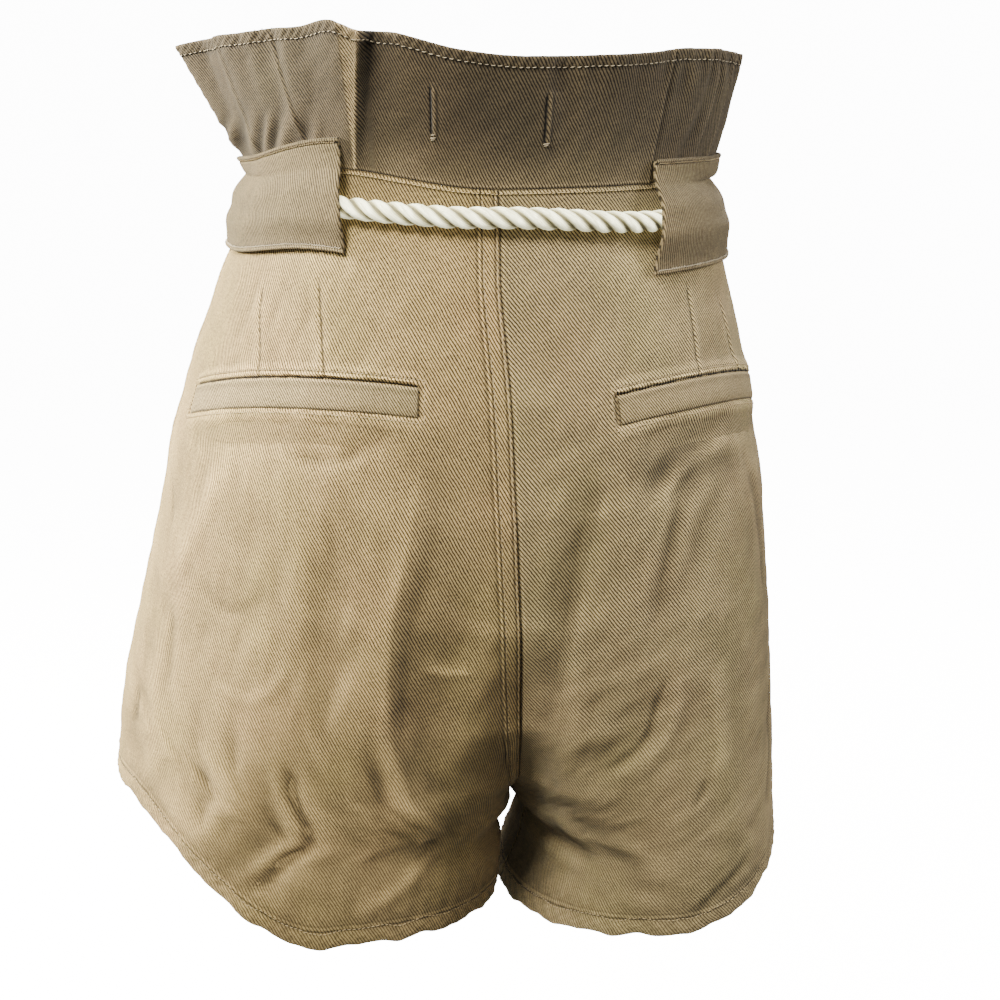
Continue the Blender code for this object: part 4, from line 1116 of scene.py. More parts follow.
@dataclass
class Cloth:
    """A finished surface of cloth, on which sewing and other pieces are laid.

    Attributes:
        outer: the outer points, rows by columns by three, in millimetres.
        normals: the directions out of it.
        u: distance across, positive to the viewer's right.
        v: height along the cloth, positive up.
        rows: the key of each row.
        columns: the key of each column.
        grain: places along the weave, across and up, where u and v don't follow it.
        marks: signed distances to sewn lines.
        edges: distances to the four edges.
        tone: what the colour is multiplied by.
    """

    outer: np.ndarray
    normals: np.ndarray
    u: np.ndarray
    v: np.ndarray
    rows: np.ndarray
    columns: np.ndarray
    grain: Optional[np.ndarray] = None
    marks: Optional[np.ndarray] = None
    edges: Optional[np.ndarray] = None
    tone: Optional[np.ndarray] = None

    def _read(self, field: np.ndarray, column: np.ndarray, row: np.ndarray) -> np.ndarray:
        """A field between the grid's points."""
        r = np.interp(row, self.rows, np.arange(len(self.rows)))
        c = np.interp(column, self.columns, np.arange(len(self.columns)))
        r0 = np.minimum(r.astype(int), len(self.rows) - 2)
        c0 = np.minimum(c.astype(int), len(self.columns) - 2)
        t = (r - r0)[:, None]
        s = (c - c0)[:, None]
        top = field[r0, c0] * (1 - s) + field[r0, c0 + 1] * s
        low = field[r0 + 1, c0] * (1 - s) + field[r0 + 1, c0 + 1] * s
        return top * (1 - t) + low * t

    def at(self, column: np.ndarray, row: np.ndarray) -> tuple[np.ndarray, np.ndarray]:
        """Points of the cloth and the directions out of it.

        Args:
            column: column keys.
            row: row keys.

        Returns:
            The points and the directions.
        """
        column, row = np.broadcast_arrays(np.atleast_1d(column), np.atleast_1d(row))
        return self._read(self.outer, column, row), unit(self._read(self.normals, column, row))

    def _key_at(self, axis: int, distance: float, from_end: bool) -> np.ndarray:
        """The key a distance from one end, measured along each line of the grid in one direction."""
        grid = self.outer if axis == 0 else self.outer.transpose(1, 0, 2)
        keys = self.rows if axis == 0 else self.columns
        steps = np.cumsum(np.linalg.norm(np.diff(grid, axis=0), axis=2), axis=0)
        along = np.concatenate([np.zeros((1, grid.shape[1])), steps])
        goal = along[-1] - distance if from_end else np.full(grid.shape[1], distance)
        return np.array([np.interp(goal[k], along[:, k], keys) for k in range(grid.shape[1])])

    def row_at(self, distance: float, from_end: bool) -> np.ndarray:
        """The row key a distance from the first or the last row, for each column."""
        return self._key_at(0, distance, from_end)

    def column_at(self, distance: float, from_end: bool) -> np.ndarray:
        """The column key a distance from the first or the last column, for each row."""
        return self._key_at(1, distance, from_end)

    def shell(
        self, name: str, thickness: np.ndarray | float, material: bpy.types.Material,
        inner_form: Optional[np.ndarray] = None, step: int = 3, round_rows: tuple[float, float] = (0.0, 0.0),
    ) -> bpy.types.Object:
        """A closed thin shell on this surface, plainer on its inner face.

        Args:
            name: the piece's name.
            thickness: of the cloth, for each point or for all.
            material: its material.
            inner_form: the points that the inner face is made from, where they aren't the outer ones.
            step: how many outer gaps one inner gap spans.
            round_rows: how far the first and the last row are drawn in to round the edge.

        Returns:
            The object.
        """
        outer = self.outer.copy()
        base = self.outer if inner_form is None else inner_form
        wall = np.broadcast_to(np.asarray(thickness, float), outer.shape[:2])
        rows, columns = outer.shape[:2]
        from_rows = np.minimum(np.arange(rows), rows - 1 - np.arange(rows))[:, None, None]
        from_columns = np.minimum(np.arange(columns), columns - 1 - np.arange(columns))[None, :, None]
        calm = np.stack([blurred(self.normals[..., k], 7) for k in range(3)], axis=2)
        share = ease(np.minimum(from_rows, from_columns) / 7)
        calm = unit(self.normals * (1 - share) + calm * share)
        inner = (base - calm * wall[..., None])[::step, ::step]
        outer[0] -= self.normals[0] * round_rows[0]
        outer[-1] -= self.normals[-1] * round_rows[1]
        r_in, c_in = inner.shape[:2]
        points = np.vstack([outer.reshape(-1, 3), inner.reshape(-1, 3)]) * MM
        number = np.arange(rows * columns).reshape(rows, columns)
        below = rows * columns + np.arange(r_in * c_in).reshape(r_in, c_in)
        quads = (number[:-1, :-1], number[:-1, 1:], number[1:, 1:], number[1:, :-1])
        faces = list(zip(*(corner.ravel().tolist() for corner in quads)))
        quads = (below[:-1, :-1], below[1:, :-1], below[1:, 1:], below[:-1, 1:])
        faces += list(zip(*(corner.ravel().tolist() for corner in quads)))
        for k in range(c_in - 1):
            span = slice(k * step, (k + 1) * step + 1)
            faces.append(tuple(number[0, span][::-1].tolist()) + (int(below[0, k]), int(below[0, k + 1])))
            faces.append(tuple(number[-1, span].tolist()) + (int(below[-1, k + 1]), int(below[-1, k])))
        for k in range(r_in - 1):
            span = slice(k * step, (k + 1) * step + 1)
            faces.append(tuple(number[span, 0].tolist()) + (int(below[k + 1, 0]), int(below[k, 0])))
            faces.append(tuple(number[span, -1][::-1].tolist()) + (int(below[k, -1]), int(below[k + 1, -1])))
        r, c = rows // 2, columns // 2
        natural = np.cross(outer[r, c + 1] - outer[r, c], outer[r + 1, c] - outer[r, c])
        if np.dot(natural, self.normals[r, c]) < 0:
            faces = [face[::-1] for face in faces]
        grain = np.stack([self.u, self.v], axis=2) if self.grain is None else self.grain
        return finished_mesh(name, points, faces, self.skin(grain, step), material)

    def skin(self, grain: np.ndarray, step: int) -> Skin:
        """What the shell carries at its points: all on the outer face, the grain alone on the inner one."""

        def joined(field: Optional[np.ndarray], plain: Optional[float]) -> Optional[np.ndarray]:
            """A field of the outer face, then of the inner one."""
            if field is None:
                return None
            field = field[..., None] if field.ndim == 2 else field
            inner = field[::step, ::step]
            inner = inner if plain is None else np.full_like(inner, plain)
            return np.vstack([field.reshape(-1, field.shape[-1]), inner.reshape(-1, field.shape[-1])])

        return Skin(
            joined(grain, None) * MM, joined(self.marks, FAR_MARK), joined(self.edges, FAR_MARK * 3),
            joined(self.tone, 0.8),
        )


def metric(outer: np.ndarray, sign: float, top: float) -> tuple[np.ndarray, np.ndarray]:
    """How far across and how far up each point of a grid lies, along the cloth.

    Args:
        outer: the grid, rows running down.
        sign: 1 where columns run to the viewer's right, and -1 where they run left.
        top: the height given to the first row.

    Returns:
        The distances across and up, in millimetres.
    """
    steps = np.cumsum(np.linalg.norm(np.diff(outer, axis=1), axis=2), axis=1)
    across = np.concatenate([np.zeros((outer.shape[0], 1)), steps], axis=1)
    steps = np.cumsum(np.linalg.norm(np.diff(outer, axis=0), axis=2), axis=0)
    down = np.concatenate([np.zeros((1, outer.shape[1])), steps])
    return sign * across, top - down


# Sewing ------------------------------------------------------------------------------------------


@dataclass(frozen=True)
class Row:
    """A row of stitches.

    Attributes:
        pitch: from one stitch to the next, in millimetres.
        long: the length of a stitch that shows.
        thick: the thickness of the thread.
        stand: how high the thread stands over the cloth.
        slant: how far each stitch turns out of its row, in degrees.
    """

    pitch: float = 2.3
    long: float = 1.75
    thick: float = 0.42
    stand: float = 0.16
    slant: float = 6.0


class Stitching:
    """Sewing threads, gathered into one joined mesh for each kind."""

    SIDES = 5
    STATIONS = 5

    def __init__(self, name: str, material: bpy.types.Material, seed: int) -> None:
        """Starts with no stitches.

        Args:
            name: the piece's name.
            material: the thread's material.
            seed: for the unevenness of the hand.
        """
        self.name = name
        self.material = material
        self.rng = np.random.default_rng(seed)
        self.points: list[np.ndarray] = []
        self.faces: list[tuple] = []
        self.uv: list[np.ndarray] = []
        self.count = 0
        self.total = 0

    def thread(self, line: np.ndarray, thick: float) -> None:
        """Lays one closed length of thread along a line of points.

        Args:
            line: its middle line, in millimetres.
            thick: its thickness.
        """
        run = unit(np.gradient(line, axis=0))
        helper = np.where(np.abs(run[:, 2:3]) < 0.8, np.array([[0.0, 0.0, 1.0]]), np.array([[0.0, 1.0, 0.0]]))
        first = unit(np.cross(run, helper))
        second = np.cross(run, first)
        turn = np.arange(self.SIDES) * 2 * math.pi / self.SIDES
        ring = first[:, None] * np.cos(turn)[None, :, None] + second[:, None] * np.sin(turn)[None, :, None]
        radius = np.full(len(line), thick / 2)
        radius[0] *= 0.55
        radius[-1] *= 0.55
        points = line[:, None] + ring * radius[:, None, None]
        along = running_length(line)
        uv = np.stack(np.broadcast_arrays(turn[None, :] / (2 * math.pi), along[:, None] * MM), axis=2)
        self.points.append(points.reshape(-1, 3))
        self.uv.append(uv.reshape(-1, 2))
        number = self.total + np.arange(len(line) * self.SIDES).reshape(len(line), self.SIDES)
        for k in range(len(line) - 1):
            for s in range(self.SIDES):
                e = (s + 1) % self.SIDES
                self.faces.append(
                    (int(number[k, s]), int(number[k + 1, s]), int(number[k + 1, e]), int(number[k, e]))
                )
        self.faces.append(tuple(int(n) for n in number[0]))
        self.faces.append(tuple(int(n) for n in number[-1][::-1]))
        self.total += len(line) * self.SIDES
        self.count += 1

    def sew(self, points: np.ndarray, normals: np.ndarray, row: Row, start: float = 0.4) -> None:
        """Sews a row of stitches along a line on the cloth.

        Args:
            points: the line, in millimetres.
            normals: the directions out of the cloth there.
            row: the kind of row.
            start: where the first stitch starts.
        """
        total = running_length(points)[-1]
        at = start
        while at + row.long < total:
            long = row.long * (1 + self.rng.uniform(-0.12, 0.12))
            share = np.linspace(0, 1, self.STATIONS)
            line = resampled(points, at + share * long)
            out = unit(resampled_normals(points, normals, at + share * long))
            lift = row.stand * np.sin(math.pi * share) ** 0.6 - row.thick * 0.30 * (
                1 - np.sin(math.pi * share) ** 0.6
            )
            across = unit(np.cross(out, unit(np.gradient(line, axis=0))))
            swing = math.tan(math.radians(row.slant * self.rng.uniform(0.4, 1.6))) * long * (share - 0.5)
            drift = self.rng.uniform(-0.08, 0.08)
            self.thread(line + out * lift[:, None] + across * (swing + drift)[:, None], row.thick)
            at += row.pitch * (1 + self.rng.uniform(-0.06, 0.06))

    def finish(self) -> Optional[bpy.types.Object]:
        """Joins the stitches into one mesh.

        Returns:
            The object, or None where nothing was sewn.
        """
        if not self.points:
            return None
        points = np.vstack(self.points) * MM
        piece = finished_mesh(self.name, points, self.faces, Skin(np.vstack(self.uv)), self.material, 80.0)
        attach(piece, "root")
        return piece


def resampled_normals(points: np.ndarray, normals: np.ndarray, at: np.ndarray) -> np.ndarray:
    """The directions that go with a line, at given lengths along it."""
    lengths = running_length(points)
    return np.stack([np.interp(at, lengths, normals[:, k]) for k in range(3)], axis=1)


# Body panels -------------------------------------------------------------------------------------


@dataclass
class WeltPocket:
    """A single welt pocket of the back: a folded strip set under a slit.

    Attributes:
        node: its CAD node.
        side: its side.
        start: where it starts around.
        end: where it ends around.
        start_z: the height of its top edge at the start.
        end_z: and at the end.
        bow: how far its middle bows up.
        height: how deep the strip is.
        cut: the strip's flat size, with its turnings, in metres; not used.
    """

    node: str
    side: Side
    start: float
    end: float
    start_z: float
    end_z: float
    bow: float = 7.0
    height: float = 14.5
    cut: tuple[float, float] = (0.135, 0.0155)

    def place(self, around: np.ndarray, z: np.ndarray) -> tuple[np.ndarray, np.ndarray]:
        """Where points lie on the strip.

        Args:
            around: how far around each point lies.
            z: its height.

        Returns:
            The share along the strip, and the distance below its top edge.
        """
        t = (around - self.start) / (self.end - self.start)
        top = self.start_z + (self.end_z - self.start_z) * t + self.bow * 4 * t * (1 - t)
        return t, top - z

    def relief(self, around: np.ndarray, z: np.ndarray, long: float) -> np.ndarray:
        """How the panel rises and sinks round the pocket.

        Args:
            around: how far around each point lies.
            z: its height.
            long: the length of the strip.

        Returns:
            The lift in millimetres.
        """
        t, q = self.place(around, z)
        beyond = np.maximum(np.maximum(-t, t - 1) * long, 0)
        within = 1 - ease(beyond / 2.6)
        lift = 1.05 * ease((q + 8.5) / 5.5) * (1 - ease((q + 0.9) / 0.7))
        lift -= 0.34 * bell(q + 3.0, 0.8)
        lift -= 1.25 * ease((q + 0.6) / 0.8) * (1 - ease((q - 13.2) / 1.2))
        lift += 0.75 * ease((q - 14.2) / 0.8) * (1 - ease((q - 17.5) / 5.5))
        lift -= 0.32 * bell(q - 16.4, 0.8)
        ends = bell(beyond - 2.0, 1.5) * ease((q + 4) / 3) * (1 - ease((q - 15) / 3)) * (beyond > 0)
        return lift * within + 0.35 * ends


@dataclass
class LegPanel:
    """One quarter of the body: a leg panel from the waist seam to its turned hem.

    Attributes:
        node: its CAD node.
        side: its side.
        half: back or front.
        form: the worn form.
        material: its twill.
        cut: width, length and area of the flat panel, in metres; not used.
        pocket: the pocket set in it.
        darts: (around, fall) paths of its darts.
        fine: the grid's step in its middle, in millimetres.
        wall: the thickness of the cloth.
        hem: the depth of the turned hem.
        fell: the width of the felled strip beside the centre seam.
        seed: of its unevenness.
    """

    node: str
    side: Side
    half: Half
    form: BodyForm
    material: bpy.types.Material
    cut: tuple[float, float, float]
    pocket: Optional[WeltPocket] = None
    darts: tuple[tuple[tuple[float, float], ...], ...] = ()
    fine: float = 1.3
    wall: float = 0.9
    hem: float = 10.6
    fell: float = 9.6
    seed: int = 1
    START_FALL = 0.0004
    SCALLOP = 0.80

    def build(self) -> bpy.types.Object:
        """Makes the panel.

        Returns:
            The piece.
        """
        fine = self.fine
        self.shares = graded(((13, 0.6 * fine / 1.3), (205, fine), (7, 0.9 * fine / 1.3)))
        self.falls = graded(
            (
                (6, 0.55 * fine / 1.3), (7, 0.9 * fine / 1.3), (355, fine), (13, 0.85 * fine / 1.3),
                (4, 0.55 * fine / 1.3),
            )
        )
        self.falls = self.START_FALL + (1 - self.START_FALL) * self.falls
        base = self.form.grid(self.side, self.half, self.falls, self.shares)
        outward = np.array([self.side.value * 0.35, self.half.value, 0.0])
        normals = grid_normals(base, outward)
        turn = np.clip(self.form.tables[self.side].read(self.falls)[:, 12], 0, 1) * math.pi / 2
        seam_out = np.stack(
            [-self.side.value * np.sin(turn), self.half.value * np.cos(turn), 0 * turn], axis=1,
        )
        blend = np.clip(1 - self.shares / 0.02, 0, 1)[None, :, None]
        normals = unit(normals * (1 - blend) + seam_out[:, None] * blend)
        blend = np.clip(1 - (1 - self.shares) / 0.02, 0, 1)[None, :, None]
        normals = unit(normals * (1 - blend) + np.array([self.side.value, 0.0, 0.0]) * blend)
        around = np.broadcast_to(self.shares if self.half is Half.BACK else 2 - self.shares, base.shape[:2])
        fall = np.broadcast_to(self.falls[:, None], base.shape[:2])
        u, v = metric(base, -self.side.value * self.half.value, 0.0)
        main = self.form.fold_lift(self.side, around, fall)
        lift = main + self.creases(base, normals, around)
        lift += self.unevenness(u, v)
        marks = np.full((*base.shape[:2], 3), FAR_MARK)
        lift += self.sewn_relief(base, around, u, v, marks)
        outer = base + normals * lift[..., None]
        from_hem = np.abs(v - v[-1])
        scallop = np.sin(u / 6.1 + 0.9 * np.sin(u / 17.0)) + 0.6 * np.sin(u / 3.3 + self.seed)
        outer[..., 2] += self.SCALLOP * scallop * (1 - ease(from_hem / 9))
        inner = base + normals * (lift - self.fine_lift)[..., None]
        self.normals = grid_normals(outer, outward)
        self.normals[:, 0] = normals[:, 0]
        self.normals[:, -1] = normals[:, -1]
        edges = np.stack([np.abs(u), np.abs(u - u[:, -1:]), from_hem, -v], axis=2)
        grain = self.form.grain(self.side, self.half, self.falls, self.shares, base)
        # Wear and painted shade from the relief, and a painted shade band just above the turned hem
        tone = wear_and_painted_light_tone(lift) * (1 - 0.16 * bell(from_hem - 13.5, 3.0))
        # Painted shadow of the rope and frill on the band below the waist seam
        tone *= 1 - 0.44 * (1 - ease((-v - 9) / 14)) * (0.4 + 0.6 * ease((-v - 1.6) / 1.0))
        # Painted shade in broad hollows and painted light on a few rises
        tone *= 1 + self.creases(base, normals, around, SHADES)
        # Painted shade, darker towards the hem
        tone *= 1 - 0.12 * ease((fall - 0.80) / 0.20)
        self.cloth = Cloth(outer, self.normals, u, v, self.falls, self.shares, grain, marks, edges, tone)
        below = ease((from_hem - self.hem) / 1.2)
        wall = 2.0 + (self.wall - 2.0) * below
        piece = self.cloth.shell(self.node + "_cloth", wall, self.material, inner, 3, (0.25, 0.7))
        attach(piece, "root")
        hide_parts(self.node)
        return piece

    def creases(
        self, base: np.ndarray, normals: np.ndarray, around: np.ndarray,
        chosen: tuple[Crease, ...] = CREASES,
    ) -> np.ndarray:
        """The lift of the listed creases, dying away at the seams."""
        lift = np.zeros(base.shape[:2])
        for crease in chosen:
            front = crease.path[0][0] > 1
            if crease.side is self.side and front == (self.half is Half.FRONT):
                lift += crease_lift(self.form, base, normals, crease)
        return lift * ease((0.5 - np.abs(around % 1.0 - 0.5)) * self.form.AROUND_MM / 12)

    def unevenness(self, u: np.ndarray, v: np.ndarray) -> np.ndarray:
        """The slight waves of worn cotton, still at the waist, the seams and the hem."""
        edge = np.minimum(np.abs(u), np.abs(u - u[:, -1:]))
        quiet = ease(edge / 14) * ease(-v / 45) * ease(np.abs(v - v[-1]) / 16 + 0.35)
        return 0.85 * small_wrinkles(u, v, self.seed) * quiet

    def sewn_relief(
        self, base: np.ndarray, around: np.ndarray, u: np.ndarray, v: np.ndarray, marks: np.ndarray,
    ) -> np.ndarray:
        """The relief of seams, hem, darts and pocket.

        Args:
            base: the smooth cloth.
            around: how far around each point lies.
            u: distance across from the centre seam.
            v: height along the cloth.
            marks: filled with the distances to sewn lines.

        Returns:
            The lift in millimetres. The part that the inner face leaves out is kept in fine_lift.
        """
        in_from_seam = np.abs(u)
        in_from_side = np.abs(u - u[:, -1:])
        from_hem = np.abs(v - v[-1])
        down = -v
        leg = ease((self.falls - 0.80) / 0.06)[:, None]
        lift = -0.55 * bell(in_from_seam, 0.9)
        if self.side is Side.LEFT:
            strip = ease((in_from_seam - 0.2) / 1.0) * (1 - ease((in_from_seam - self.fell - 0.4) / 1.0))
            holes = bell(in_from_seam - 2.4, 0.8) + bell(in_from_seam - 8.6, 0.8)
            ripple = 0.12 * np.sin(v / 2.9 + 2 * np.sin(v / 23)) * bell(in_from_seam - 5.5, 3.5)
            lift += (0.85 * strip - 0.34 * holes + ripple) * (1 - 0.6 * leg)
        else:
            lift -= 0.35 * bell(in_from_seam, 1.6) * (1 - leg)
        lift -= 0.6 * bell(in_from_side, 0.9)
        lift += 0.16 * bell(in_from_side - 4.5, 3.0) * np.sin(v / 3.1 + 1.6 * np.sin(v / 17))
        lift += 0.55 * (1 - ease((down - 1.6) / 0.8)) - 0.28 * bell(down - 3.0, 0.6)
        band = 1 - ease((from_hem - self.hem) / 1.4)
        pucker = np.sin((u * 0.9 + from_hem * 1.1) * 2 * math.pi / 8.6 + 1.3 * np.sin(u / 13.0))
        lift += band * (0.45 + 0.52 * pucker * bell(from_hem - 5.0, 5.2)) - 0.45 * bell(from_hem - 9.6, 0.8)
        lift += 0.22 * pucker * bell(from_hem - 15, 5.0)
        lift -= 0.5 * np.maximum(0, 1 - from_hem / 1.4) ** 2
        for path in self.darts:
            line = smooth_path(path, 24)
            order = np.argsort(line[:, 1])
            place = np.interp(self.falls, line[order, 1], line[order, 0])
            length = np.abs(u[:, -1])
            gap = (around - place[:, None]) * length[:, None]
            start, end = line[:, 1].min(), line[:, 1].max()
            live = ease((self.falls - start) / 0.03) * ease((end - self.falls) / 0.004)
            live = live[:, None] * np.ones_like(gap)
            lift += live * (0.55 * bell(gap - 2.2, 2.4) + 0.30 * bell(gap + 3.0, 3.0) - 0.60 * bell(gap, 1.0))
            near = (np.abs(gap) < np.abs(marks[..., 1])) & (live > 0.02)
            marks[..., 1] = np.where(near, gap + np.sign(gap) * (1 - live) * 2, marks[..., 1])
        if self.pocket is not None:
            long = np.abs(u[len(u) // 3, -1]) * (self.pocket.end - self.pocket.start)
            t, q = self.pocket.place(around, base[..., 2])
            lift += self.pocket.relief(around, base[..., 2], long)
            inside = (t > 0.0) & (t < 1.0)
            marks[..., 0] = np.where(inside & (np.abs(q) < 8), q, marks[..., 0])
            lift -= 1.9 * bell(q - 25, 6.5) * ease(t / 0.25) * ease((1 - t) / 0.3)
        self.fine_lift = lift
        return lift


# Pocket strips -----------------------------------------------------------------------------------


def pocket_strip(
    pocket: WeltPocket, panel: LegPanel, material: bpy.types.Material,
) -> tuple[bpy.types.Object, Cloth]:
    """The folded strip of a welt pocket, lying in its slit.

    Args:
        pocket: the pocket.
        panel: the panel that it is set in.
        material: its twill.

    Returns:
        The piece and its surface.
    """
    columns = np.linspace(0, 1, 121)
    rows = graded(((2, 0.4), (11, 0.9), (1.6, 0.4)))
    around = pocket.start + (pocket.end - pocket.start) * columns
    top = pocket.start_z + (pocket.end_z - pocket.start_z) * columns + pocket.bow * 4 * columns * (
        1 - columns
    )
    grid = np.zeros((len(rows), len(columns), 3))
    out = np.zeros_like(grid)
    base = panel.form.grid(panel.side, panel.half, panel.falls, panel.shares)
    for r, share in enumerate(rows):
        goal = top - 0.55 - (pocket.height - 0.7) * share
        c = np.interp(around, panel.shares, np.arange(len(panel.shares)))
        c0 = np.clip(np.round(c).astype(int), 0, len(panel.shares) - 1)
        falls = np.array([np.interp(-g, -base[:, k, 2], panel.falls) for g, k in zip(goal, c0)])
        points = panel.form.points(panel.side, around, falls)
        _, normal = panel.cloth.at(around, falls)
        lift = panel.form.fold_lift(panel.side, around, falls)
        grid[r] = points + normal * lift[:, None]
        out[r] = normal
    middle = np.pad(out.mean(axis=0), ((6, 6), (0, 0)), mode="edge")
    smooth = np.stack([np.convolve(middle[:, k], np.ones(13) / 13, "valid") for k in range(3)], axis=1)
    out = np.broadcast_to(unit(smooth), grid.shape)
    depth = rows * pocket.height
    edge = np.minimum(columns, 1 - columns) * 120
    crown = 0.55 + 0.45 * ease(depth / 1.6) - 0.75 * ease((depth - 12.6) / 2.0)
    lift = crown[:, None] - 0.8 * (1 - ease(edge / 1.2))[None, :]
    lift = lift + 0.10 * np.sin(columns * 37)[None, :] * ease(depth / 5)[:, None]
    outer = grid + out * lift[..., None]
    normals = grid_normals(outer, out)
    u, v = metric(outer, -pocket.side.value, 40.0)
    edges = np.stack([np.abs(u), np.abs(u - u[:, -1:]), v - v[-1], 40.0 - v], axis=2)
    # Painted shade in a band just under the strip's folded top edge
    tone = 1.0 - 0.25 * bell(depth - 2.6, 1.5)[:, None] + 0 * u
    cloth = Cloth(outer, normals, u, v, rows, columns, edges=edges, tone=tone)
    piece = cloth.shell(pocket.node + "_strip", 0.8, material, None, 3, (0.25, 0.2))
    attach(piece, "root")
    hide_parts(pocket.node)
    return piece, cloth


# The frill ---------------------------------------------------------------------------------------

# around, height, lean, power: a power over one keeps it upright near the seam, one under it bulges it
FRILL_STANDS = (
    (-2.00, 50, 10, 0.80),
    (-1.50, 50, 12, 0.80),
    (-1.15, 56, 17, 0.50),
    (-0.90, 60, 20, 0.38),
    (-0.74, 63, 17, 0.50),
    (-0.56, 63.5, 13, 1.00),
    (-0.38, 61.5, 12, 1.60),
    (-0.20, 60.5, 12, 1.80),
    (-0.06, 60.5, 12, 1.80),
    (0.12, 62.5, 12, 1.80),
    (0.27, 65.5, 12, 1.60),
    (0.36, 64.5, 12, 1.40),
    (0.42, 68.0, 16, 1.10),
    (0.54, 64.5, 18, 0.85),
    (0.66, 65.5, 20, 0.75),
    (0.80, 66.5, 23, 0.70),
    (0.90, 65.0, 28, 0.70),
    (1.00, 60.5, 34, 0.70),
    (1.25, 56, 21, 0.80),
    (1.50, 51, 12, 0.80),
    (2.00, 50, 10, 0.80),
)
# around, lean in, before, after, crest: the soft pleats
SOFT_PLEATS = (
    (0.33, 0.02, 12, 9, -3.0),
    (0.64, 0.00, 10, 12, -3.5),
    (0.80, -0.02, 12, 10, 3.0),
    (0.97, -0.03, 12, 7, 4.5),
    (1.13, 0.00, 9, 12, -3.5),
    (1.28, 0.02, 12, 9, 4.5),
    (1.46, 0.00, 10, 12, -3.5),
    (1.62, 0.02, 12, 9, 4.5),
    (1.80, 0.00, 10, 12, -3.0),
    (0.10, 0.02, 16, 16, 2.0),
    (-0.17, 0.00, 10, 9, -3.2),
    (-0.32, 0.00, 14, 12, 2.2),
    (-0.50, 0.05, 8, 11, -3.2),
    (-0.62, 0.04, 10, 8, 3.0),
    (-0.74, 0.04, 8, 9, -3.0),
    (-0.88, 0.02, 9, 9, 3.5),
    (-1.05, 0.00, 10, 10, -3.5),
    (-1.22, 0.00, 12, 9, 4.5),
    (-1.42, 0.00, 10, 12, -3.5),
    (-1.60, 0.00, 12, 9, 4.5),
    (-1.80, 0.00, 10, 12, -3.0),
)


@dataclass(frozen=True)
class PressedPleat:
    """A pressed pleat of the frill: cloth that rises to an edge and drops back past it.

    Attributes:
        low: where its edge starts around, at the waist seam.
        high: where it ends, at the top.
        step: how far the edge stands, at the top.
        ramp: over how many millimetres the cloth rises to it.
        drop: over how many it falls back, at the top.
        faces: 1 where the drop lies toward larger around, -1 toward smaller.
        bottom: the share of the step that is left at the waist seam.
        ledge: how wide the rolled face behind its edge is, at the top, before it falls back.
    """

    low: float
    high: float
    step: float
    ramp: float
    drop: float
    faces: int
    bottom: float = 0.25
    ledge: float = 0.0


PRESSED_PLEATS = (
    PressedPleat(0.428, 0.402, 9.5, 25, 4.0, -1, 0.12, 6.5),
    PressedPleat(0.93, 0.972, 3.2, 14, 1.2, 1, 0.7),
    PressedPleat(0.575, 0.645, 1.0, 16, 1.6, -1, 0.9),
    PressedPleat(0.80, 0.83, 0.9, 16, 3.0, -1, 0.8),
    PressedPleat(-0.475, -0.505, 2.0, 14, 1.8, -1, 0.6),
    PressedPleat(-0.66, -0.735, 2.0, 11, 1.4, -1, 0.7),
    PressedPleat(-0.745, -0.83, 2.0, 8, 1.0, -1, 0.7),
    PressedPleat(-0.88, -0.95, 1.8, 8, 1.0, -1, 0.7),
    PressedPleat(1.20, 1.24, 1.8, 14, 1.2, 1, 0.6),
    PressedPleat(1.52, 1.56, 2.0, 16, 1.2, 1, 0.6),
    PressedPleat(1.83, 1.85, 1.6, 12, 1.2, 1, 0.6),
    PressedPleat(-1.20, -1.24, 1.8, 14, 1.2, -1, 0.6),
    PressedPleat(-1.50, -1.54, 2.0, 16, 1.2, -1, 0.6),
    PressedPleat(-1.82, -1.84, 1.6, 12, 1.2, -1, 0.6),
)


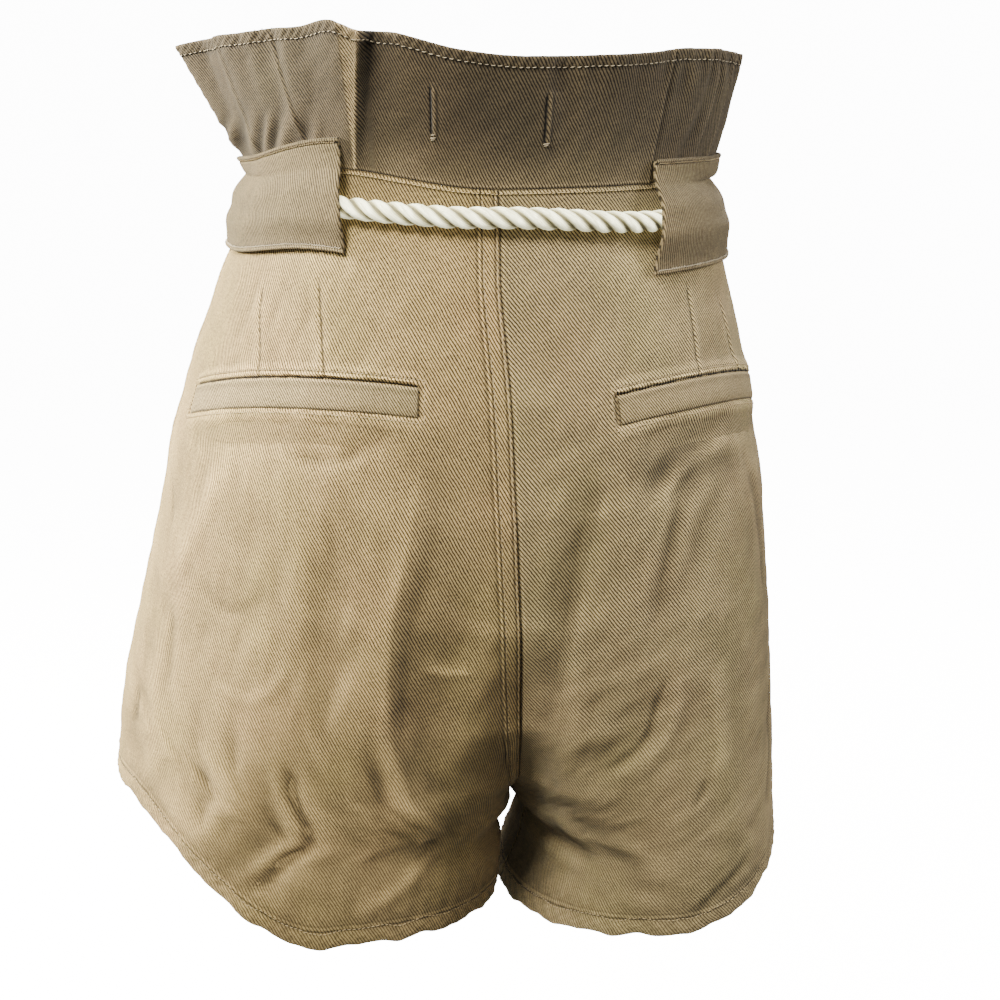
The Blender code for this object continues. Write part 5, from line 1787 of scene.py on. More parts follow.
@dataclass
class Frill:
    """A stretch of the standing frill above the waist seam.

    Attributes:
        node: its CAD node.
        start: where it starts around.
        end: where it ends.
        form: the worn form.
        material: its twill.
        cut: width and length of the flat strip, in metres; not used.
        columns: gaps across.
        slits: (around, low rise, high rise) of the stitched slit marks.
        wall: the thickness of the turned cloth.
        turned: how far below the top edge the turning is stitched.
        seed: of its unevenness.
    """

    node: str
    start: float
    end: float
    form: BodyForm
    material: bpy.types.Material
    cut: tuple[float, float]
    columns: int
    slits: tuple[tuple[float, float, float], ...] = ()
    wall: float = 1.5
    turned: float = 5.5
    seed: int = 3
    QUARTER = 172.0
    INSET = 0.02

    def pressed(self, around: np.ndarray, rise: np.ndarray) -> np.ndarray:
        """The lift of the pressed pleats."""
        lift = np.zeros_like(rise)
        for pleat in PRESSED_PLEATS:
            edge = pleat.low + (pleat.high - pleat.low) * rise
            gap = (around - edge) * self.QUARTER * pleat.faces
            tall = pleat.step * (pleat.bottom + (1 - pleat.bottom) * rise**1.2)
            back = np.clip(-gap / pleat.ramp, 0, 1)
            climb = (1 - back) ** 2 * (1 + back)
            ledge = pleat.ledge * rise
            fall_back = 1 - ease((gap - ledge) / pleat.drop) - 0.12 * ease(gap / 1.2) * (ledge > 0) * (
                gap < ledge
            )
            lift += tall * np.where(gap < 0, climb, fall_back)
        return lift

    def soft(self, around: np.ndarray, rise: np.ndarray) -> np.ndarray:
        """The lift of the soft pleats."""
        lift = np.zeros_like(rise)
        for place, lean_in, before, after, crest in SOFT_PLEATS:
            gap = (around - place - lean_in * (1 - rise)) * self.QUARTER
            near = np.minimum(np.abs(gap) / np.where(gap > 0, after, before), 1)
            lift += crest * (1 - near**2) ** 2
        return lift * rise**1.3

    def build(self) -> bpy.types.Object:
        """Makes the stretch.

        Returns:
            The piece.
        """
        inset = self.INSET / self.QUARTER
        columns = np.linspace(self.start + inset, self.end - inset, self.columns + 1)
        rises = 1 - graded(((1.2, 0.4), (10, 0.9), (38, 1.2), (10, 0.9)))
        signed, rise = np.meshgrid(columns, rises)
        point, out = self.form.waist_line(columns)
        stand = Table(FRILL_STANDS).read(columns)
        height, lean, power = stand[:, 1], stand[:, 2], stand[:, 3]
        form_lift = self.soft(signed, rise) + self.pressed(signed, rise)
        lift = lean[None] * rise ** power[None] + form_lift
        grid = point[None] + out[None] * lift[..., None]
        grid[..., 2] += self.INSET + (height[None] - self.INSET) * rise
        normals = grid_normals(grid, out[None])
        u, v = metric(grid, -1.0, 60.0)
        u = u - (self.start * self.QUARTER)
        v = height[None] * rise
        from_top = height[None] * (1 - rise)
        fine = 0.55 * small_wrinkles(u * 1.3, v * 1.3, self.seed) * ease(v / 10) * ease(from_top / 9 + 0.2)
        puffs = ease((signed - 0.5) / 0.08) * (1 - ease((signed - 1.0) / 0.2))
        fine += 1.1 * puffs * np.sin(u * 2 * math.pi / 17 + 1.3 * np.sin(u / 7.0)) * bell(v - 17, 9.0)
        crushed = ease((-0.42 - signed) / 0.2)
        fine += 0.55 * crushed * np.sin(u * 2 * math.pi / 13 + 2.1 * np.sin(v / 9.0)) * (
            0.4 + bell(from_top - 8, 9.0)
        )
        fine += 0.28 * (1 - ease((from_top - 5.2) / 0.9)) - 0.34 * bell(from_top - self.turned, 0.7)
        fine += 0.22 * np.sin(u * 2 * math.pi / 5.3 + 2 * np.sin(u / 11)) * bell(from_top - 2.8, 2.8)
        fine -= 0.45 * np.maximum(0, 1 - from_top / 1.3) ** 2
        fine += 0.35 * (1 - ease((v - 1.4) / 0.9)) - 0.5 * bell(v, 0.9)
        marks = np.full((*grid.shape[:2], 3), FAR_MARK)
        for place, low, high in self.slits:
            gap = (signed - place) * self.QUARTER
            live = ease((rise - low) / 0.03) * ease((high - rise) / 0.03)
            fine += live * (
                0.75 * bell(gap + 1.1, 0.9) - 0.6 * bell(gap - 0.5, 0.8) + 0.5 * bell(gap + 4, 4.5)
            )
            near = (np.abs(gap) < 7) & (live > 0.02)
            marks[..., 0] = np.where(near, (gap - 0.5) + np.sign(gap - 0.5) * (1 - live) * 2, marks[..., 0])
        outer = grid + normals * fine[..., None]
        normals = grid_normals(outer, out[None])
        normals[:, 0] = out[0]
        normals[:, -1] = out[-1]
        grain = np.stack([np.broadcast_to(u[len(u) // 2], u.shape), v], axis=2)
        edges = np.stack([np.abs(u - u[:, :1]), np.abs(u - u[:, -1:]), from_top, v], axis=2)
        # Wear and painted shade from the relief, with the frill's painted light and shade
        tone = wear_and_painted_light_tone(form_lift * 0.6 + fine) * self.frill_painted_light_and_shade(signed, rise)
        self.cloth = Cloth(outer, normals, u, v, -rises, columns, grain, marks, edges, tone)
        piece = self.cloth.shell(self.node + "_cloth", self.wall, self.material, grid, 3, (0.45, 0.0))
        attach(piece, "root")
        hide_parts(self.node)
        return piece

    def frill_painted_light_and_shade(self, around: np.ndarray, rise: np.ndarray) -> np.ndarray:
        """Painted light and shade of the frill: painted shade over its back, deepest in the middle, painted light near
        the waist seam, rubbed pleat edges lighter from wear and a painted highlight, a painted shadow behind each
        pleat, and painted light on the rolled ledge.
        """
        # Painted shade over the back, and painted light near the waist seam
        back = 1 - ease((np.abs(around) - 1.0) / 0.3)
        tone = 1 - (0.53 - 0.03 * ease((0.5 - around) / 0.12)) * back
        tone *= 1 - 0.34 * bell(around - 0.02, 0.26) * bell(rise - 0.45, 0.34)
        tone *= 1 + 0.45 * bell(rise, 0.22) * (1 - ease((np.abs(around) - 0.5) / 0.1))
        for pleat in PRESSED_PLEATS:
            edge = pleat.low + (pleat.high - pleat.low) * rise
            gap = (around - edge) * self.QUARTER * pleat.faces
            # Rubbed pleat edges lighter from wear and a painted highlight, a painted shadow behind them, painted light
            # on the ledge
            tone *= 1 + 0.20 * bell(gap + 0.4, 0.8)
            ledge = pleat.ledge * rise
            painted_shadow_wedge = ease((gap - ledge) / 1.2) * (1 - ease((gap - ledge - 2) / (1 + 2.2 * pleat.step)))
            tone *= 1 - 0.07 * min(pleat.step, 4.0) * painted_shadow_wedge
            tone *= 1 + 3.2 * ease(gap / 0.7 + 0.3) * (1 - ease((gap - ledge) / 1.2)) * (ledge > 0)
        return tone


# Rope and carriers -------------------------------------------------------------------------------


@dataclass
class RopeBelt:
    """The twisted rope belt: three strands laid together and closed into a ring.

    Attributes:
        form: the worn form.
        material: its cotton.
        turns: how many turns each strand makes.
        strand: the radius of a strand, in millimetres.
        wound: the radius at which the strands are wound.
        rings: rings for each turn.
        sides: points round a strand.
    """

    form: BodyForm
    material: bpy.types.Material
    turns: int = 25
    strand: float = 2.56
    wound: float = 2.62
    rings: int = 29
    sides: int = 12
    RADIUS = 5.0
    DROP = 12.0
    SAG = 4.5
    GAP = 0.7
    FLY_LIFT = 1.75
    SAG_AROUND = 0.45
    FLY_FROM = 1.5
    FLY_REACH = 0.28

    def drop(self, around: np.ndarray) -> np.ndarray:
        """How far below the waist seam the rope lies."""
        middle = np.minimum(around, 2 - around)
        return self.DROP + self.SAG * ease(middle / self.SAG_AROUND)

    def centre(self) -> tuple[np.ndarray, np.ndarray]:
        """The middle line of the rope, with the directions out of the garment."""
        signed = np.linspace(-2, 2, 961)[:-1]
        point = surface_at(self.form, signed, -self.drop(np.abs(signed)))
        _, out = self.form.waist_line(signed)
        over = self.FLY_LIFT * ease((np.abs(signed) - self.FLY_FROM) / self.FLY_REACH)
        return point + out * (self.RADIUS + self.GAP + over)[:, None], out

    def build(self) -> bpy.types.Object:
        """Makes the rope.

        Returns:
            The piece.
        """
        line, out = self.centre()
        closed = np.vstack([line, line[:1]])
        closed_out = np.vstack([out, out[:1]])
        lengths = running_length(closed)
        count = self.turns * self.rings
        at = lengths[-1] * np.arange(count) / count
        middle = resampled(closed, at)
        outward = unit(resampled_normals(closed, closed_out, at))
        run = unit(np.roll(middle, -1, axis=0) - np.roll(middle, 1, axis=0))
        up = unit(np.cross(outward, run))
        up = up * np.sign(up[:, 2:3])
        outward = unit(np.cross(run, up)) * np.sign(
            np.sum(np.cross(run, up) * outward, axis=1, keepdims=True)
        )
        points, faces, uv, marks = [], [], [], []
        rng = np.random.default_rng(11)
        for k in range(3):
            angle = 2 * math.pi * (self.turns * np.arange(count) / count + k / 3)
            uneven = 1 + 0.025 * np.sin(np.arange(count) / 19.0 + k) + 0.012 * rng.standard_normal(count)
            radial = outward * np.cos(angle)[:, None] + up * np.sin(angle)[:, None]
            strand = middle + radial * self.wound
            forward = unit(np.roll(strand, -1, axis=0) - np.roll(strand, 1, axis=0))
            side = unit(np.cross(forward, radial))
            face = np.cross(side, forward)
            turn = np.arange(self.sides) * 2 * math.pi / self.sides
            radius = self.strand * uneven
            ring = (
                face[:, None] * np.cos(turn)[None, :, None]
                + side[:, None] * np.sin(turn)[None, :, None] * 1.06
            )
            start = k * count * self.sides
            points.append((strand[:, None] + ring * radius[:, None, None]).reshape(-1, 3))
            number = start + np.arange(count * self.sides).reshape(count, self.sides)
            after = np.roll(number, -1, axis=0)
            around = np.roll(number, -1, axis=1)
            corner = np.roll(after, -1, axis=1)
            faces += list(
                zip(
                    number.ravel().tolist(), around.ravel().tolist(), corner.ravel().tolist(),
                    after.ravel().tolist(),
                )
            )
            place = np.stack(np.broadcast_arrays(turn[None] * self.strand, at[:, None] * 1.3), axis=2)
            uv.append(place.reshape(-1, 2))
            mark = np.full((count, self.sides, 3), FAR_MARK)
            # The rope's marks: how far each point faces out of its strand, and how far up, for its painted shade and
            # painted light
            mark[..., 0] = np.broadcast_to(np.cos(turn)[None] * 0.5 + 0.5, (count, self.sides))
            mark[..., 1] = np.einsum("nsc,nc->ns", ring, up)
            marks.append(mark.reshape(-1, 3))
        mesh_points = np.vstack(points) * MM
        skin = Skin(np.vstack(uv) * MM, np.vstack(marks))
        piece = finished_mesh("rope_belt_strands", mesh_points, faces, skin, self.material, 80.0)
        outward_faces(piece)
        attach(piece, "root")
        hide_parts("rope_belt")
        self.length = lengths[-1]
        return piece


def outward_faces(piece: bpy.types.Object) -> None:
    """Turns all faces of a closed mesh outwards, in edit mode."""
    bpy.ops.object.select_all(action="DESELECT")
    piece.select_set(True)
    bpy.context.view_layer.objects.active = piece
    bpy.ops.object.mode_set(mode="EDIT")
    bpy.ops.mesh.select_all(action="SELECT")
    bpy.ops.mesh.normals_make_consistent(inside=False)
    bpy.ops.object.mode_set(mode="OBJECT")
    piece.select_set(False)


def surface_at(form: BodyForm, signed: np.ndarray, level: np.ndarray) -> np.ndarray:
    """The smooth garment surface some millimetres above or below the waist seam.

    Args:
        form: the worn form.
        signed: places around, with the sign of their side.
        level: heights over the waist seam, negative below it.

    Returns:
        The points.
    """
    signed, level = np.broadcast_arrays(signed, level)
    points, out = form.waist_line(signed)
    stand = Table(FRILL_STANDS).read(signed)
    rise = np.maximum(level, 0) / stand[:, 1]
    above = points + out * (stand[:, 2] * rise ** stand[:, 3])[:, None]
    above[:, 2] += np.maximum(level, 0)
    falls = np.linspace(0, 0.16, 33)
    lines = np.stack([form.waist_line(signed, fall)[0] for fall in falls])
    below = np.zeros_like(above)
    for k in range(len(signed)):
        drop = points[k, 2] - lines[:, k, 2]
        goal = np.maximum(-level[k], 0)
        below[k] = [np.interp(goal, drop, lines[:, k, c]) for c in range(3)]
    return np.where((level >= 0)[:, None], above, below)


@dataclass
class BeltCarrier:
    """A wide tab over the rope, sewn down above and below it.

    Attributes:
        node: its CAD node.
        side: its side.
        start: where it starts around.
        end: where it ends.
        slant: how far its foot moves toward the back.
        top: the height of its top edge over the waist seam at its start and its end, in millimetres.
        bottom: the height of its foot there.
        form: the worn form.
        material: its twill.
        cut: width and length of the flat tab, in metres; not used.
        seed: of its unevenness.
    """

    node: str
    side: Side
    start: float
    end: float
    slant: float
    top: tuple[float, float]
    bottom: tuple[float, float]
    form: BodyForm
    material: bpy.types.Material
    cut: tuple[float, float]
    seed: int = 5
    WALL = 1.6
    FOOT = 2.6
    SHEET = 1.3
    ROPE_LEVEL = -15.5
    CREST = 11.4
    FLAT_HALF = 3.75

    def lift(self, level: np.ndarray, top: np.ndarray, bottom: np.ndarray) -> np.ndarray:
        """How far the tab stands off the garment, so that the rope passes under it."""
        middle = self.ROPE_LEVEL
        over = self.CREST - self.FOOT
        half = np.where(level < middle, middle - bottom, top - middle)
        flat = self.FLAT_HALF / half
        return self.FOOT + over * (1 - ease((np.abs(level - middle) / half - flat) / (1 - flat)))

    def build(self) -> bpy.types.Object:
        """Makes the tab.

        Returns:
            The piece.
        """
        columns = graded(((3, 0.5), (92, 1.1), (3, 0.6)))
        rows = graded(((4, 0.5), (45, 0.95), (5, 0.5)))
        top = self.top[0] + (self.top[1] - self.top[0]) * columns
        bottom = self.bottom[0] + (self.bottom[1] - self.bottom[0]) * columns
        level = top[None] + (bottom - top)[None] * rows[:, None]
        grid, out = [], []
        for share, heights in zip(rows, level):
            around = self.start + (self.end - self.start) * columns + self.slant * share
            signed = around * self.side.value
            signed = np.where(signed > 2, signed - 4, signed)
            grid.append(surface_at(self.form, signed, heights))
            out.append(self.form.waist_line(signed)[1])
        base = np.array(grid)
        outward = np.array(out)
        lift = self.lift(level, top[None], bottom[None]) + self.WALL
        smooth = base + outward * lift[..., None]
        u, v = metric(smooth, -self.side.value, 20.0)
        down = v[0] - v
        up = np.abs(v - v[-1])
        edge = np.abs(u)
        far = np.abs(u - u[:, -1:])
        fine = 0.34 * small_wrinkles(u * 1.4, v * 1.4, self.seed) * ease(down / 5) * ease(up / 5)
        fine -= 0.55 * bell(down - 2.2, 0.7) + 0.45 * bell(up - 2.3, 0.7)
        fine += 0.15 * bell(down - 1.0, 0.8) + 0.15 * bell(up - 1.0, 0.8)
        fine -= 0.55 * (1 - ease(edge / 1.3)) ** 2 + 0.55 * (1 - ease(far / 1.3)) ** 2
        fine -= 0.55 * (1 - ease(down / 1.2)) ** 2 + 0.55 * (1 - ease(up / 1.2)) ** 2
        normals = grid_normals(smooth, outward)
        outer = smooth + normals * fine[..., None]
        normals = grid_normals(outer, outward)
        edges = np.stack([edge, far, up, down], axis=2)
        # The tab's tone: wear and painted shade from its relief
        self.cloth = Cloth(outer, normals, u, v, rows, columns, edges=edges, tone=wear_and_painted_light_tone(fine, 0.2, 0.5))
        piece = self.cloth.shell(self.node + "_cloth", self.SHEET, self.material, None, 3, (0.3, 0.3))
        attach(piece, "root")
        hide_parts(self.node)
        return piece


@dataclass
class FlyFacing:
    """The plain fly facing down the front.

    Attributes:
        panel: the front panel that it lies on.
        material: its twill.
        width: how wide it is, in millimetres.
        end: the fall at which it ends.
        cut: width and length of the flat facing, in metres; not used.
    """

    panel: LegPanel
    material: bpy.types.Material
    width: float = 34.0
    end: float = 0.42
    cut: tuple[float, float] = (0.034, 0.150)
    START = 0.014

    def build(self) -> bpy.types.Object:
        """Makes the facing.

        Returns:
            The piece.
        """
        rows = graded(((150, 1.4),))
        columns = graded(((2, 0.6), (30, 1.3), (2, 0.6)))
        grid, out = [], []
        length = np.abs(self.panel.cloth.u[:, -1] - self.panel.cloth.u[:, 0])
        for row in rows:
            fall = self.START + (self.end - self.START) * row
            narrow = 1 - 0.9 * ease((row - 0.7) / 0.3)
            share = (0.3 + self.width * narrow * columns) / np.interp(fall, self.panel.falls, length)
            points, normal = self.panel.cloth.at(share, fall)
            grid.append(points)
            out.append(normal)
        base = np.array(grid)
        normals = unit(np.array(out))
        across = np.linspace(0, 1, len(columns))[None] * self.width
        edge = np.minimum(across, self.width - across)
        lift = 1.0 - 0.5 * (1 - ease(edge / 1.2)) ** 2
        lift = lift - 0.22 * bell(across - 29.5, 0.9) - 0.22 * bell(across - 25, 0.9)
        outer = base + normals * lift[..., None]
        normals = grid_normals(outer, normals)
        u, v = metric(outer, 1.0, -2.0)
        self.cloth = Cloth(outer, normals, u, v, rows, columns)
        piece = self.cloth.shell("fly_facing_cloth", 0.7, self.material, None, 3, (0.2, 0.2))
        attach(piece, "root")
        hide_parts("fly_facing")
        return piece


# The studio --------------------------------------------------------------------------------------


@dataclass
class Studio:
    """A plain pale floor, five soft lights and the camera of the photograph.

    Attributes:
        floor: the height of the floor, in metres.
        turn: how far the camera stands round from straight behind, in degrees.
        tilt: how far it looks down.
        away: its distance.
        eye: its height, in metres.
        pan: how far it looks past the middle, in radians.
        lens: its focal length, for a 36 mm sensor.
    """

    floor: float = -0.62
    turn: float = 9.0
    tilt: float = 14.0
    away: float = 1.0
    eye: float = 0.0784
    pan: float = 0.013
    lens: float = 70.056

    def build_camera(self) -> bpy.types.Object:
        """Sets the camera."""
        data = bpy.data.cameras.new("camera")
        camera = bpy.data.objects.new("camera", data)
        bpy.context.scene.collection.objects.link(camera)
        phi = math.radians(self.turn)
        pitch = math.radians(self.tilt)
        azimuth = phi + self.pan
        look = Vector(
            (-math.sin(azimuth) * math.cos(pitch), -math.cos(azimuth) * math.cos(pitch), -math.sin(pitch))
        )
        right = look.cross(Vector((0, 0, 1))).normalized()
        up = right.cross(look)
        place = Matrix((right, up, -look)).transposed().to_4x4()
        place.translation = Vector((self.away * math.sin(phi), self.away * math.cos(phi), self.eye))
        camera.matrix_world = place
        data.sensor_width = 36.0
        data.lens = self.lens
        data.clip_start = 0.01
        bpy.context.scene.camera = camera
        return camera

    def build_floor(self, material: bpy.types.Material) -> bpy.types.Object:
        """Lays the floor: a wide sheet whose far rim sweeps up all round.

        Args:
            material: its finish.

        Returns:
            The floor.
        """
        bpy.ops.object.select_all(action="DESELECT")
        bpy.ops.mesh.primitive_grid_add(x_subdivisions=64, y_subdivisions=64, size=2.0, location=(0, 0, 0))
        floor = bpy.context.active_object
        floor.name = "floor"
        points = np.zeros(len(floor.data.vertices) * 3)
        floor.data.vertices.foreach_get("co", points)
        points = points.reshape(-1, 3)
        square = np.max(np.abs(points[:, :2]), axis=1, keepdims=True)
        round_off = np.linalg.norm(points[:, :2], axis=1, keepdims=True)
        points[:, :2] *= np.where(round_off > 1e-6, square / np.maximum(round_off, 1e-6), 1.0) * 6.0
        reach = np.linalg.norm(points[:, :2], axis=1)
        points[:, 2] = self.floor + 3.0 * ease((reach - 3.0) / 3.0)
        floor.data.vertices.foreach_set("co", points.ravel())
        floor.data.update()
        floor.data.materials.append(material)
        floor.data.shade_smooth()
        floor.visible_diffuse = False
        floor.visible_glossy = False
        return floor

    def light(
        self, name: str, place: tuple[float, float, float], aim: tuple[float, float, float], size: float,
        power: float, colour: tuple[float, float, float],
    ) -> None:
        """Hangs one soft light.

        Args:
            name: its name.
            place: where it hangs.
            aim: what it points at.
            size: the width of its face.
            power: its power.
            colour: its colour.
        """
        data = bpy.data.lights.new(name, "AREA")
        data.shape = "DISK"
        data.size = size
        data.energy = power
        data.color = colour
        lamp = bpy.data.objects.new(name, data)
        bpy.context.scene.collection.objects.link(lamp)
        lamp.location = place
        lamp.rotation_euler = (Vector(aim) - Vector(place)).to_track_quat("-Z", "Y").to_euler()

    def build_lights(self) -> None:
        """Hangs the lights: the main one high behind the garment's back and a little to its left."""
        self.light("key", (0.60, 0.80, 0.92), (0.01, 0.06, -0.15), 0.55, 46.0, (1.0, 0.965, 0.88))
        self.light("left", (1.25, -0.30, 0.42), (0.1, 0, -0.25), 0.5, 96.0, (1.0, 0.95, 0.80))
        self.light("right", (-1.25, 0.25, 0.45), (-0.05, 0, -0.02), 0.5, 20.0, (1.0, 0.98, 0.95))
        self.light("fill", (-0.05, 1.35, -0.05), (0, 0, -0.15), 1.1, 2.5, (1.0, 0.97, 0.92))
        self.light("front", (-0.45, -1.15, 1.05), (0, 0, -0.15), 0.7, 46.0, (1.0, 0.975, 0.93))
        world = bpy.data.worlds.new("studio")
        world.use_nodes = True
        tree = world.node_tree
        back = tree.nodes["Background"]
        coordinates = tree.nodes.new("ShaderNodeTexCoord")
        split = tree.nodes.new("ShaderNodeSeparateXYZ")
        ramp = tree.nodes.new("ShaderNodeMapRange")
        tree.links.new(coordinates.outputs["Generated"], split.inputs[0])
        tree.links.new(split.outputs[2], ramp.inputs[0])
        for index, value in enumerate((-0.6, 0.8, 0.10, 0.42)):
            ramp.inputs[index + 1].default_value = value
        tree.links.new(ramp.outputs[0], back.inputs["Strength"])
        back.inputs["Color"].default_value = (0.97, 0.985, 1.0, 1.0)
        bpy.context.scene.world = world


# Sewing plan -------------------------------------------------------------------------------------


def sew_panel(panel: LegPanel, body: Stitching) -> None:
    """Sews the hem, the waist row and the fell of a panel, and beside the side seam at the front.

    Args:
        panel: the panel.
        body: the khaki thread.
    """
    cloth = panel.cloth
    hem = cloth.row_at(9.6, True)
    points, normals = cloth.at(panel.shares, hem)
    body.sew(points, normals, Row(2.5, 1.8, 0.40, 0.12))
    waist = cloth.row_at(1.9, False)
    points, normals = cloth.at(panel.shares, waist)
    body.sew(points, normals, Row(2.3, 1.8, 0.42, 0.14))
    if panel.side is Side.LEFT:
        live = panel.falls < 0.84
        for distance in (2.2, 8.6):
            column = cloth.column_at(distance, False)
            points, normals = cloth.at(column[live], panel.falls[live])
            body.sew(points, normals, Row(2.3, 1.75, 0.38, 0.10), 3.0)
    if panel.half is Half.FRONT:
        column = cloth.column_at(3.0, True)
        live = panel.falls < 0.30
        points, normals = cloth.at(column[live], panel.falls[live])
        body.sew(points, normals, Row(2.3, 1.7, 0.38, 0.10), 3.0)


def sew_pocket(pocket: WeltPocket, panel: LegPanel, thread: Stitching) -> None:
    """Sews round a pocket, on the panel.

    Args:
        pocket: the pocket.
        panel: its panel.
        thread: the khaki thread.
    """
    base = panel.form.grid(panel.side, panel.half, panel.falls, panel.shares)

    def line(shares: np.ndarray, below: np.ndarray) -> tuple[np.ndarray, np.ndarray]:
        """Points on the panel at shares along the pocket and distances below its top edge."""
        around = pocket.start + (pocket.end - pocket.start) * shares
        z = (
            pocket.start_z + (pocket.end_z - pocket.start_z) * shares
            + pocket.bow * 4 * shares * (1 - shares) - below
        )
        columns = np.clip(
            np.interp(around, panel.shares, np.arange(len(panel.shares))), 0, len(panel.shares) - 1.001,
        )
        falls = []
        for g, c in zip(z, columns):
            k = int(c)
            column = base[:, k, 2] * (1 - (c - k)) + base[:, k + 1, 2] * (c - k)
            falls.append(np.interp(-g, -column, panel.falls))
        return panel.cloth.at(around, np.array(falls))

    along = np.linspace(-0.02, 1.02, 150)
    fine = Row(2.0, 1.3, 0.46, 0.22, 14.0)
    thread.sew(*line(along, np.full(150, -3.0)), fine)
    thread.sew(*line(along, np.full(150, 16.4)), fine)
    for share in (-0.02, 1.02):
        across = np.linspace(-3.0, 16.4, 40)
        thread.sew(*line(np.full(40, share), across), fine)


def sew_frill(part: Frill, thread: Stitching) -> None:
    """Sews the turned top edge of a stretch of frill.

    Args:
        part: the stretch.
        thread: the pale thread.
    """
    row = part.cloth.row_at(part.turned, False)
    points, normals = part.cloth.at(part.cloth.columns, row)
    thread.sew(points, normals, Row(3.2, 2.0, 0.46, 0.20, 8.0))


def sew_carrier(part: BeltCarrier, dark: Stitching, pale: Stitching) -> None:
    """Sews a carrier's edges down, close and slanting, pale along its foot.

    Args:
        part: the carrier.
        dark: the khaki thread.
        pale: the pale thread.
    """
    inside = part.cloth.columns[(part.cloth.columns > 0.012) & (part.cloth.columns < 0.985)]
    for distance, from_end, thread in ((2.2, False, dark), (2.3, True, pale)):
        row = np.interp(inside, part.cloth.columns, part.cloth.row_at(distance, from_end))
        points, normals = part.cloth.at(inside, row)
        thread.sew(points, normals, Row(1.25, 1.15, 0.44, 0.20, 30.0))


def sew_slits(part: Frill, thread: Stitching) -> None:
    """Tacks the slit marks of the frill with short pale stitches.

    Args:
        part: the back of the frill.
        thread: the pale thread.
    """
    for (place, _, _), tacks in zip(part.slits, ((0.315, 0.33, 0.35), (0.33, 0.345))):
        for k, rise in enumerate(tacks):
            swing = 0.010 if k % 2 else 0.007
            column = np.linspace(place - swing, place + swing * 0.6, 7)
            row = np.linspace(-rise - 0.008, -rise + 0.006, 7)
            points, normals = part.cloth.at(column, row)
            bow = np.sin(np.linspace(0, math.pi, 7)) * 0.7
            thread.thread(points + normals * (bow + 0.1)[:, None], 0.42)


def loose_threads(part: Frill, thread: Stitching) -> None:
    """Leaves the cut ends of thread on the top edge of the frill.

    Args:
        part: the back of the frill.
        thread: the pale thread.
    """
    rng = np.random.default_rng(23)
    ends, first, spread = 16, 0.625, 0.052
    for k in range(ends):
        column = first + spread * k / (ends - 1) + rng.uniform(-0.004, 0.004)
        points, normals = part.cloth.at(np.array([column]), np.array([-0.995]))
        start = points[0] - normals[0] * rng.uniform(0.0, 1.0)
        lean = np.array([rng.uniform(-1.2, 1.2), rng.uniform(-0.4, 0.8), rng.uniform(0.5, 1.7)])
        share = np.linspace(0, 1, 5)[:, None]
        curl = np.array([0.0, 0.0, -0.8]) * share**2
        thread.thread(start + lean * share + curl, 0.32)


# Putting it together -----------------------------------------------------------------------------


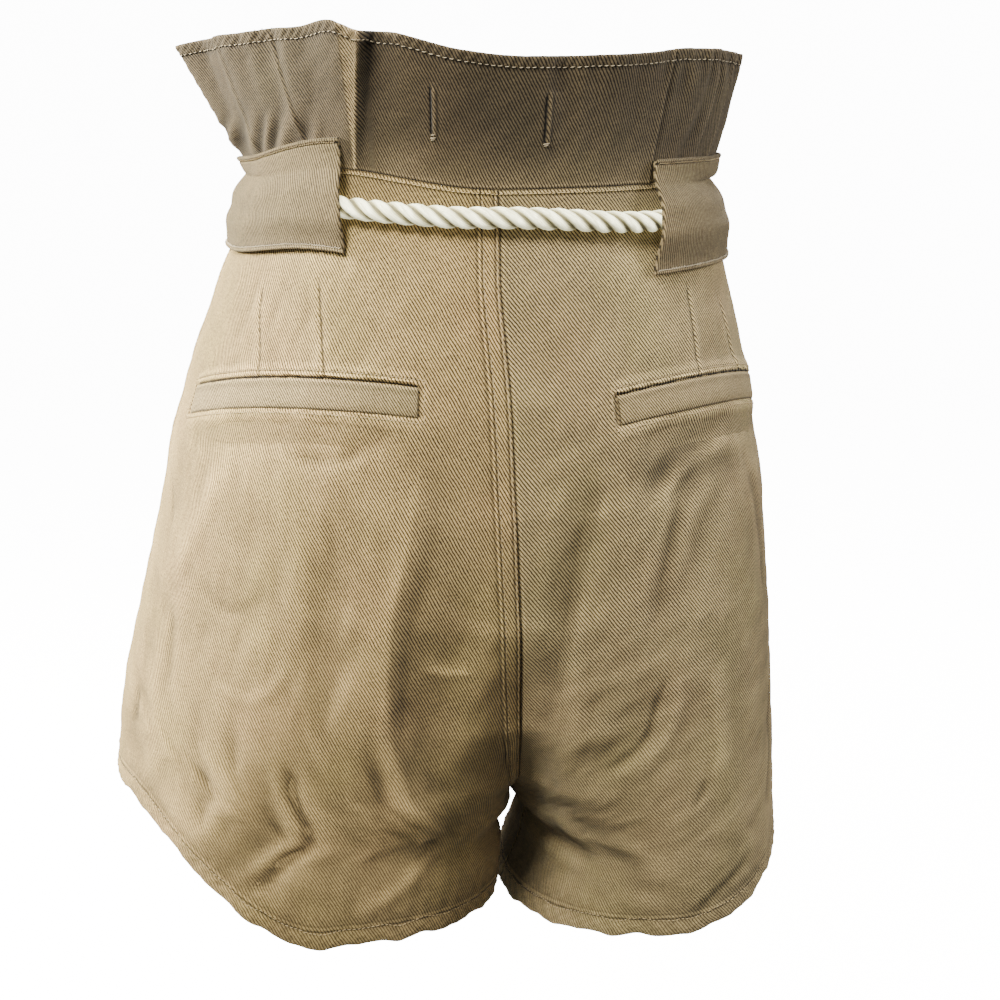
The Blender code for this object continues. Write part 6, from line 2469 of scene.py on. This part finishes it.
def main() -> None:
    """Builds the shorts, their sewing and the studio, and reports each piece."""
    logging.basicConfig(level=logging.INFO, format="%(message)s", stream=sys.stdout)
    form = BodyForm()
    left = TwillFinish(
        "khaki_twill_left", (0.54, 0.388, 0.168), (0.032, 0.019, 0.007), 1.58, 2.95, FELLED_PANEL,
    ).build()
    right = TwillFinish(
        "khaki_twill_right", (0.46, 0.350, 0.168), (0.024, 0.016, 0.007), 1.80, 2.25, PLAIN_PANEL,
    ).build()
    # The frill's twill is darker than the body's, mostly as painted shade, for the frill leans out and faces a little
    # down
    dark = TwillFinish(
        "khaki_twill_frill", (0.25, 0.188, 0.100), (0.018, 0.0115, 0.005), 1.62, 2.80, FRILL_LINES, 0.9,
    ).build()
    tab = TwillFinish(
        "khaki_twill_tab", (0.225, 0.171, 0.087), (0.023, 0.016, 0.006), 1.40, 5.0, CARRIER_LINES, 0.6,
    ).build()
    welt = TwillFinish(
        "khaki_twill_welt", (0.47, 0.36, 0.185), (0.055, 0.037, 0.015), 1.45, 2.2, STRIP_LINES, 0.6,
    ).build()
    cotton = RopeFinish("cream_cotton", (0.97, 0.97, 0.68), (0.26, 0.23, 0.11)).build()
    khaki_thread = ThreadFinish("khaki_thread", (0.60, 0.46, 0.25), (0.24, 0.17, 0.08)).build()
    pale_thread = ThreadFinish("pale_thread", (0.62, 0.54, 0.38), (0.28, 0.21, 0.12)).build()

    pockets = (
        WeltPocket("welt_left", Side.LEFT, 0.205, 0.84, -87, -98),
        WeltPocket("welt_right", Side.RIGHT, 0.24, 0.87, -94, -102),
    )
    panels = (
        LegPanel("back_left", Side.LEFT, Half.BACK, form, left, (0.315, 0.400, 0.092), pockets[0],
                 (((0.665, 0.13), (0.64, 0.19), (0.595, 0.262)), ((0.475, 0.12), (0.455, 0.17), (0.42, 0.248))), seed=41),
        LegPanel("back_right", Side.RIGHT, Half.BACK, form, right, (0.305, 0.405, 0.091), pockets[1],
                 (((0.53, 0.115), (0.51, 0.17), (0.48, 0.252)), ((0.665, 0.14), (0.67, 0.19), (0.67, 0.262))), seed=47),
        LegPanel("front_left", Side.LEFT, Half.FRONT, form, left, (0.310, 0.400, 0.088), fine=2.0, seed=53),
        LegPanel(
            "front_right", Side.RIGHT, Half.FRONT, form, right, (0.300, 0.405, 0.087), fine=2.0, seed=59,
        ),
    )
    for panel in panels:
        piece = panel.build()
        log.info("%s: %d points", piece.name, len(piece.data.vertices))

    frills = (
        Frill(
            "frill_back", -1.0, 1.0, form, dark, (0.360, 0.065), 498,
            ((0.19, 0.30, 0.71), (-0.13, 0.31, 0.74)), seed=61,
        ),
        Frill("frill_front_left", 1.0, 2.0, form, dark, (0.180, 0.056), 198, seed=67),
        Frill("frill_front_right", -2.0, -1.0, form, dark, (0.180, 0.056), 198, seed=71),
    )
    for part in frills:
        piece = part.build()
        log.info("%s: %d points", piece.name, len(piece.data.vertices))

    rope = RopeBelt(form, cotton)
    piece = rope.build()
    log.info("%s: %.0f mm long", piece.name, rope.length)

    carriers = (
        BeltCarrier(
            "belt_loop_left", Side.LEFT, 0.46, 1.08, -0.05, (14.5, 6.5), (-36.5, -35.0), form, tab,
            (0.118, 0.064), 73,
        ),
        BeltCarrier(
            "belt_loop_right", Side.RIGHT, 0.48, 1.08, -0.08, (11.5, 11.0), (-41.0, -38.5), form, tab,
            (0.118, 0.068), 79,
        ),
    )
    for part in carriers:
        piece = part.build()
        log.info("%s: %d points", piece.name, len(piece.data.vertices))

    for pocket, panel in zip(pockets, panels[:2]):
        piece, _ = pocket_strip(pocket, panel, welt)
        log.info("%s: %d points", piece.name, len(piece.data.vertices))
    fly = FlyFacing(panels[2], welt)
    piece = fly.build()
    log.info("%s: %d points", piece.name, len(piece.data.vertices))

    body_thread = Stitching("stitches_body", khaki_thread, 101)
    for panel in panels:
        sew_panel(panel, body_thread)
    pocket_thread = Stitching("stitches_pockets", khaki_thread, 103)
    for pocket, panel in zip(pockets, panels[:2]):
        sew_pocket(pocket, panel, pocket_thread)
    for distance in (29.5, 25.0):
        column = fly.cloth.column_at(distance, False)
        keep = fly.cloth.rows < 0.86
        points, normals = fly.cloth.at(column[keep], fly.cloth.rows[keep])
        pocket_thread.sew(points, normals, Row())
    tab_thread = Stitching("stitches_carriers", khaki_thread, 107)
    frill_thread = Stitching("stitches_frill", pale_thread, 109)
    for part in carriers:
        sew_carrier(part, tab_thread, frill_thread)
    for part in frills:
        sew_frill(part, frill_thread)
    sew_slits(frills[0], frill_thread)
    loose_threads(frills[0], frill_thread)
    for group in (body_thread, pocket_thread, tab_thread, frill_thread):
        piece = group.finish()
        log.info("%s: %d stitches", piece.name, group.count)

    studio = Studio()
    studio.build_camera()
    studio.build_floor(FloorFinish("pale_floor", (0.93, 0.93, 0.925)).build())
    studio.build_lights()
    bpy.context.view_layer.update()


if __name__ == "__main__":
    main()
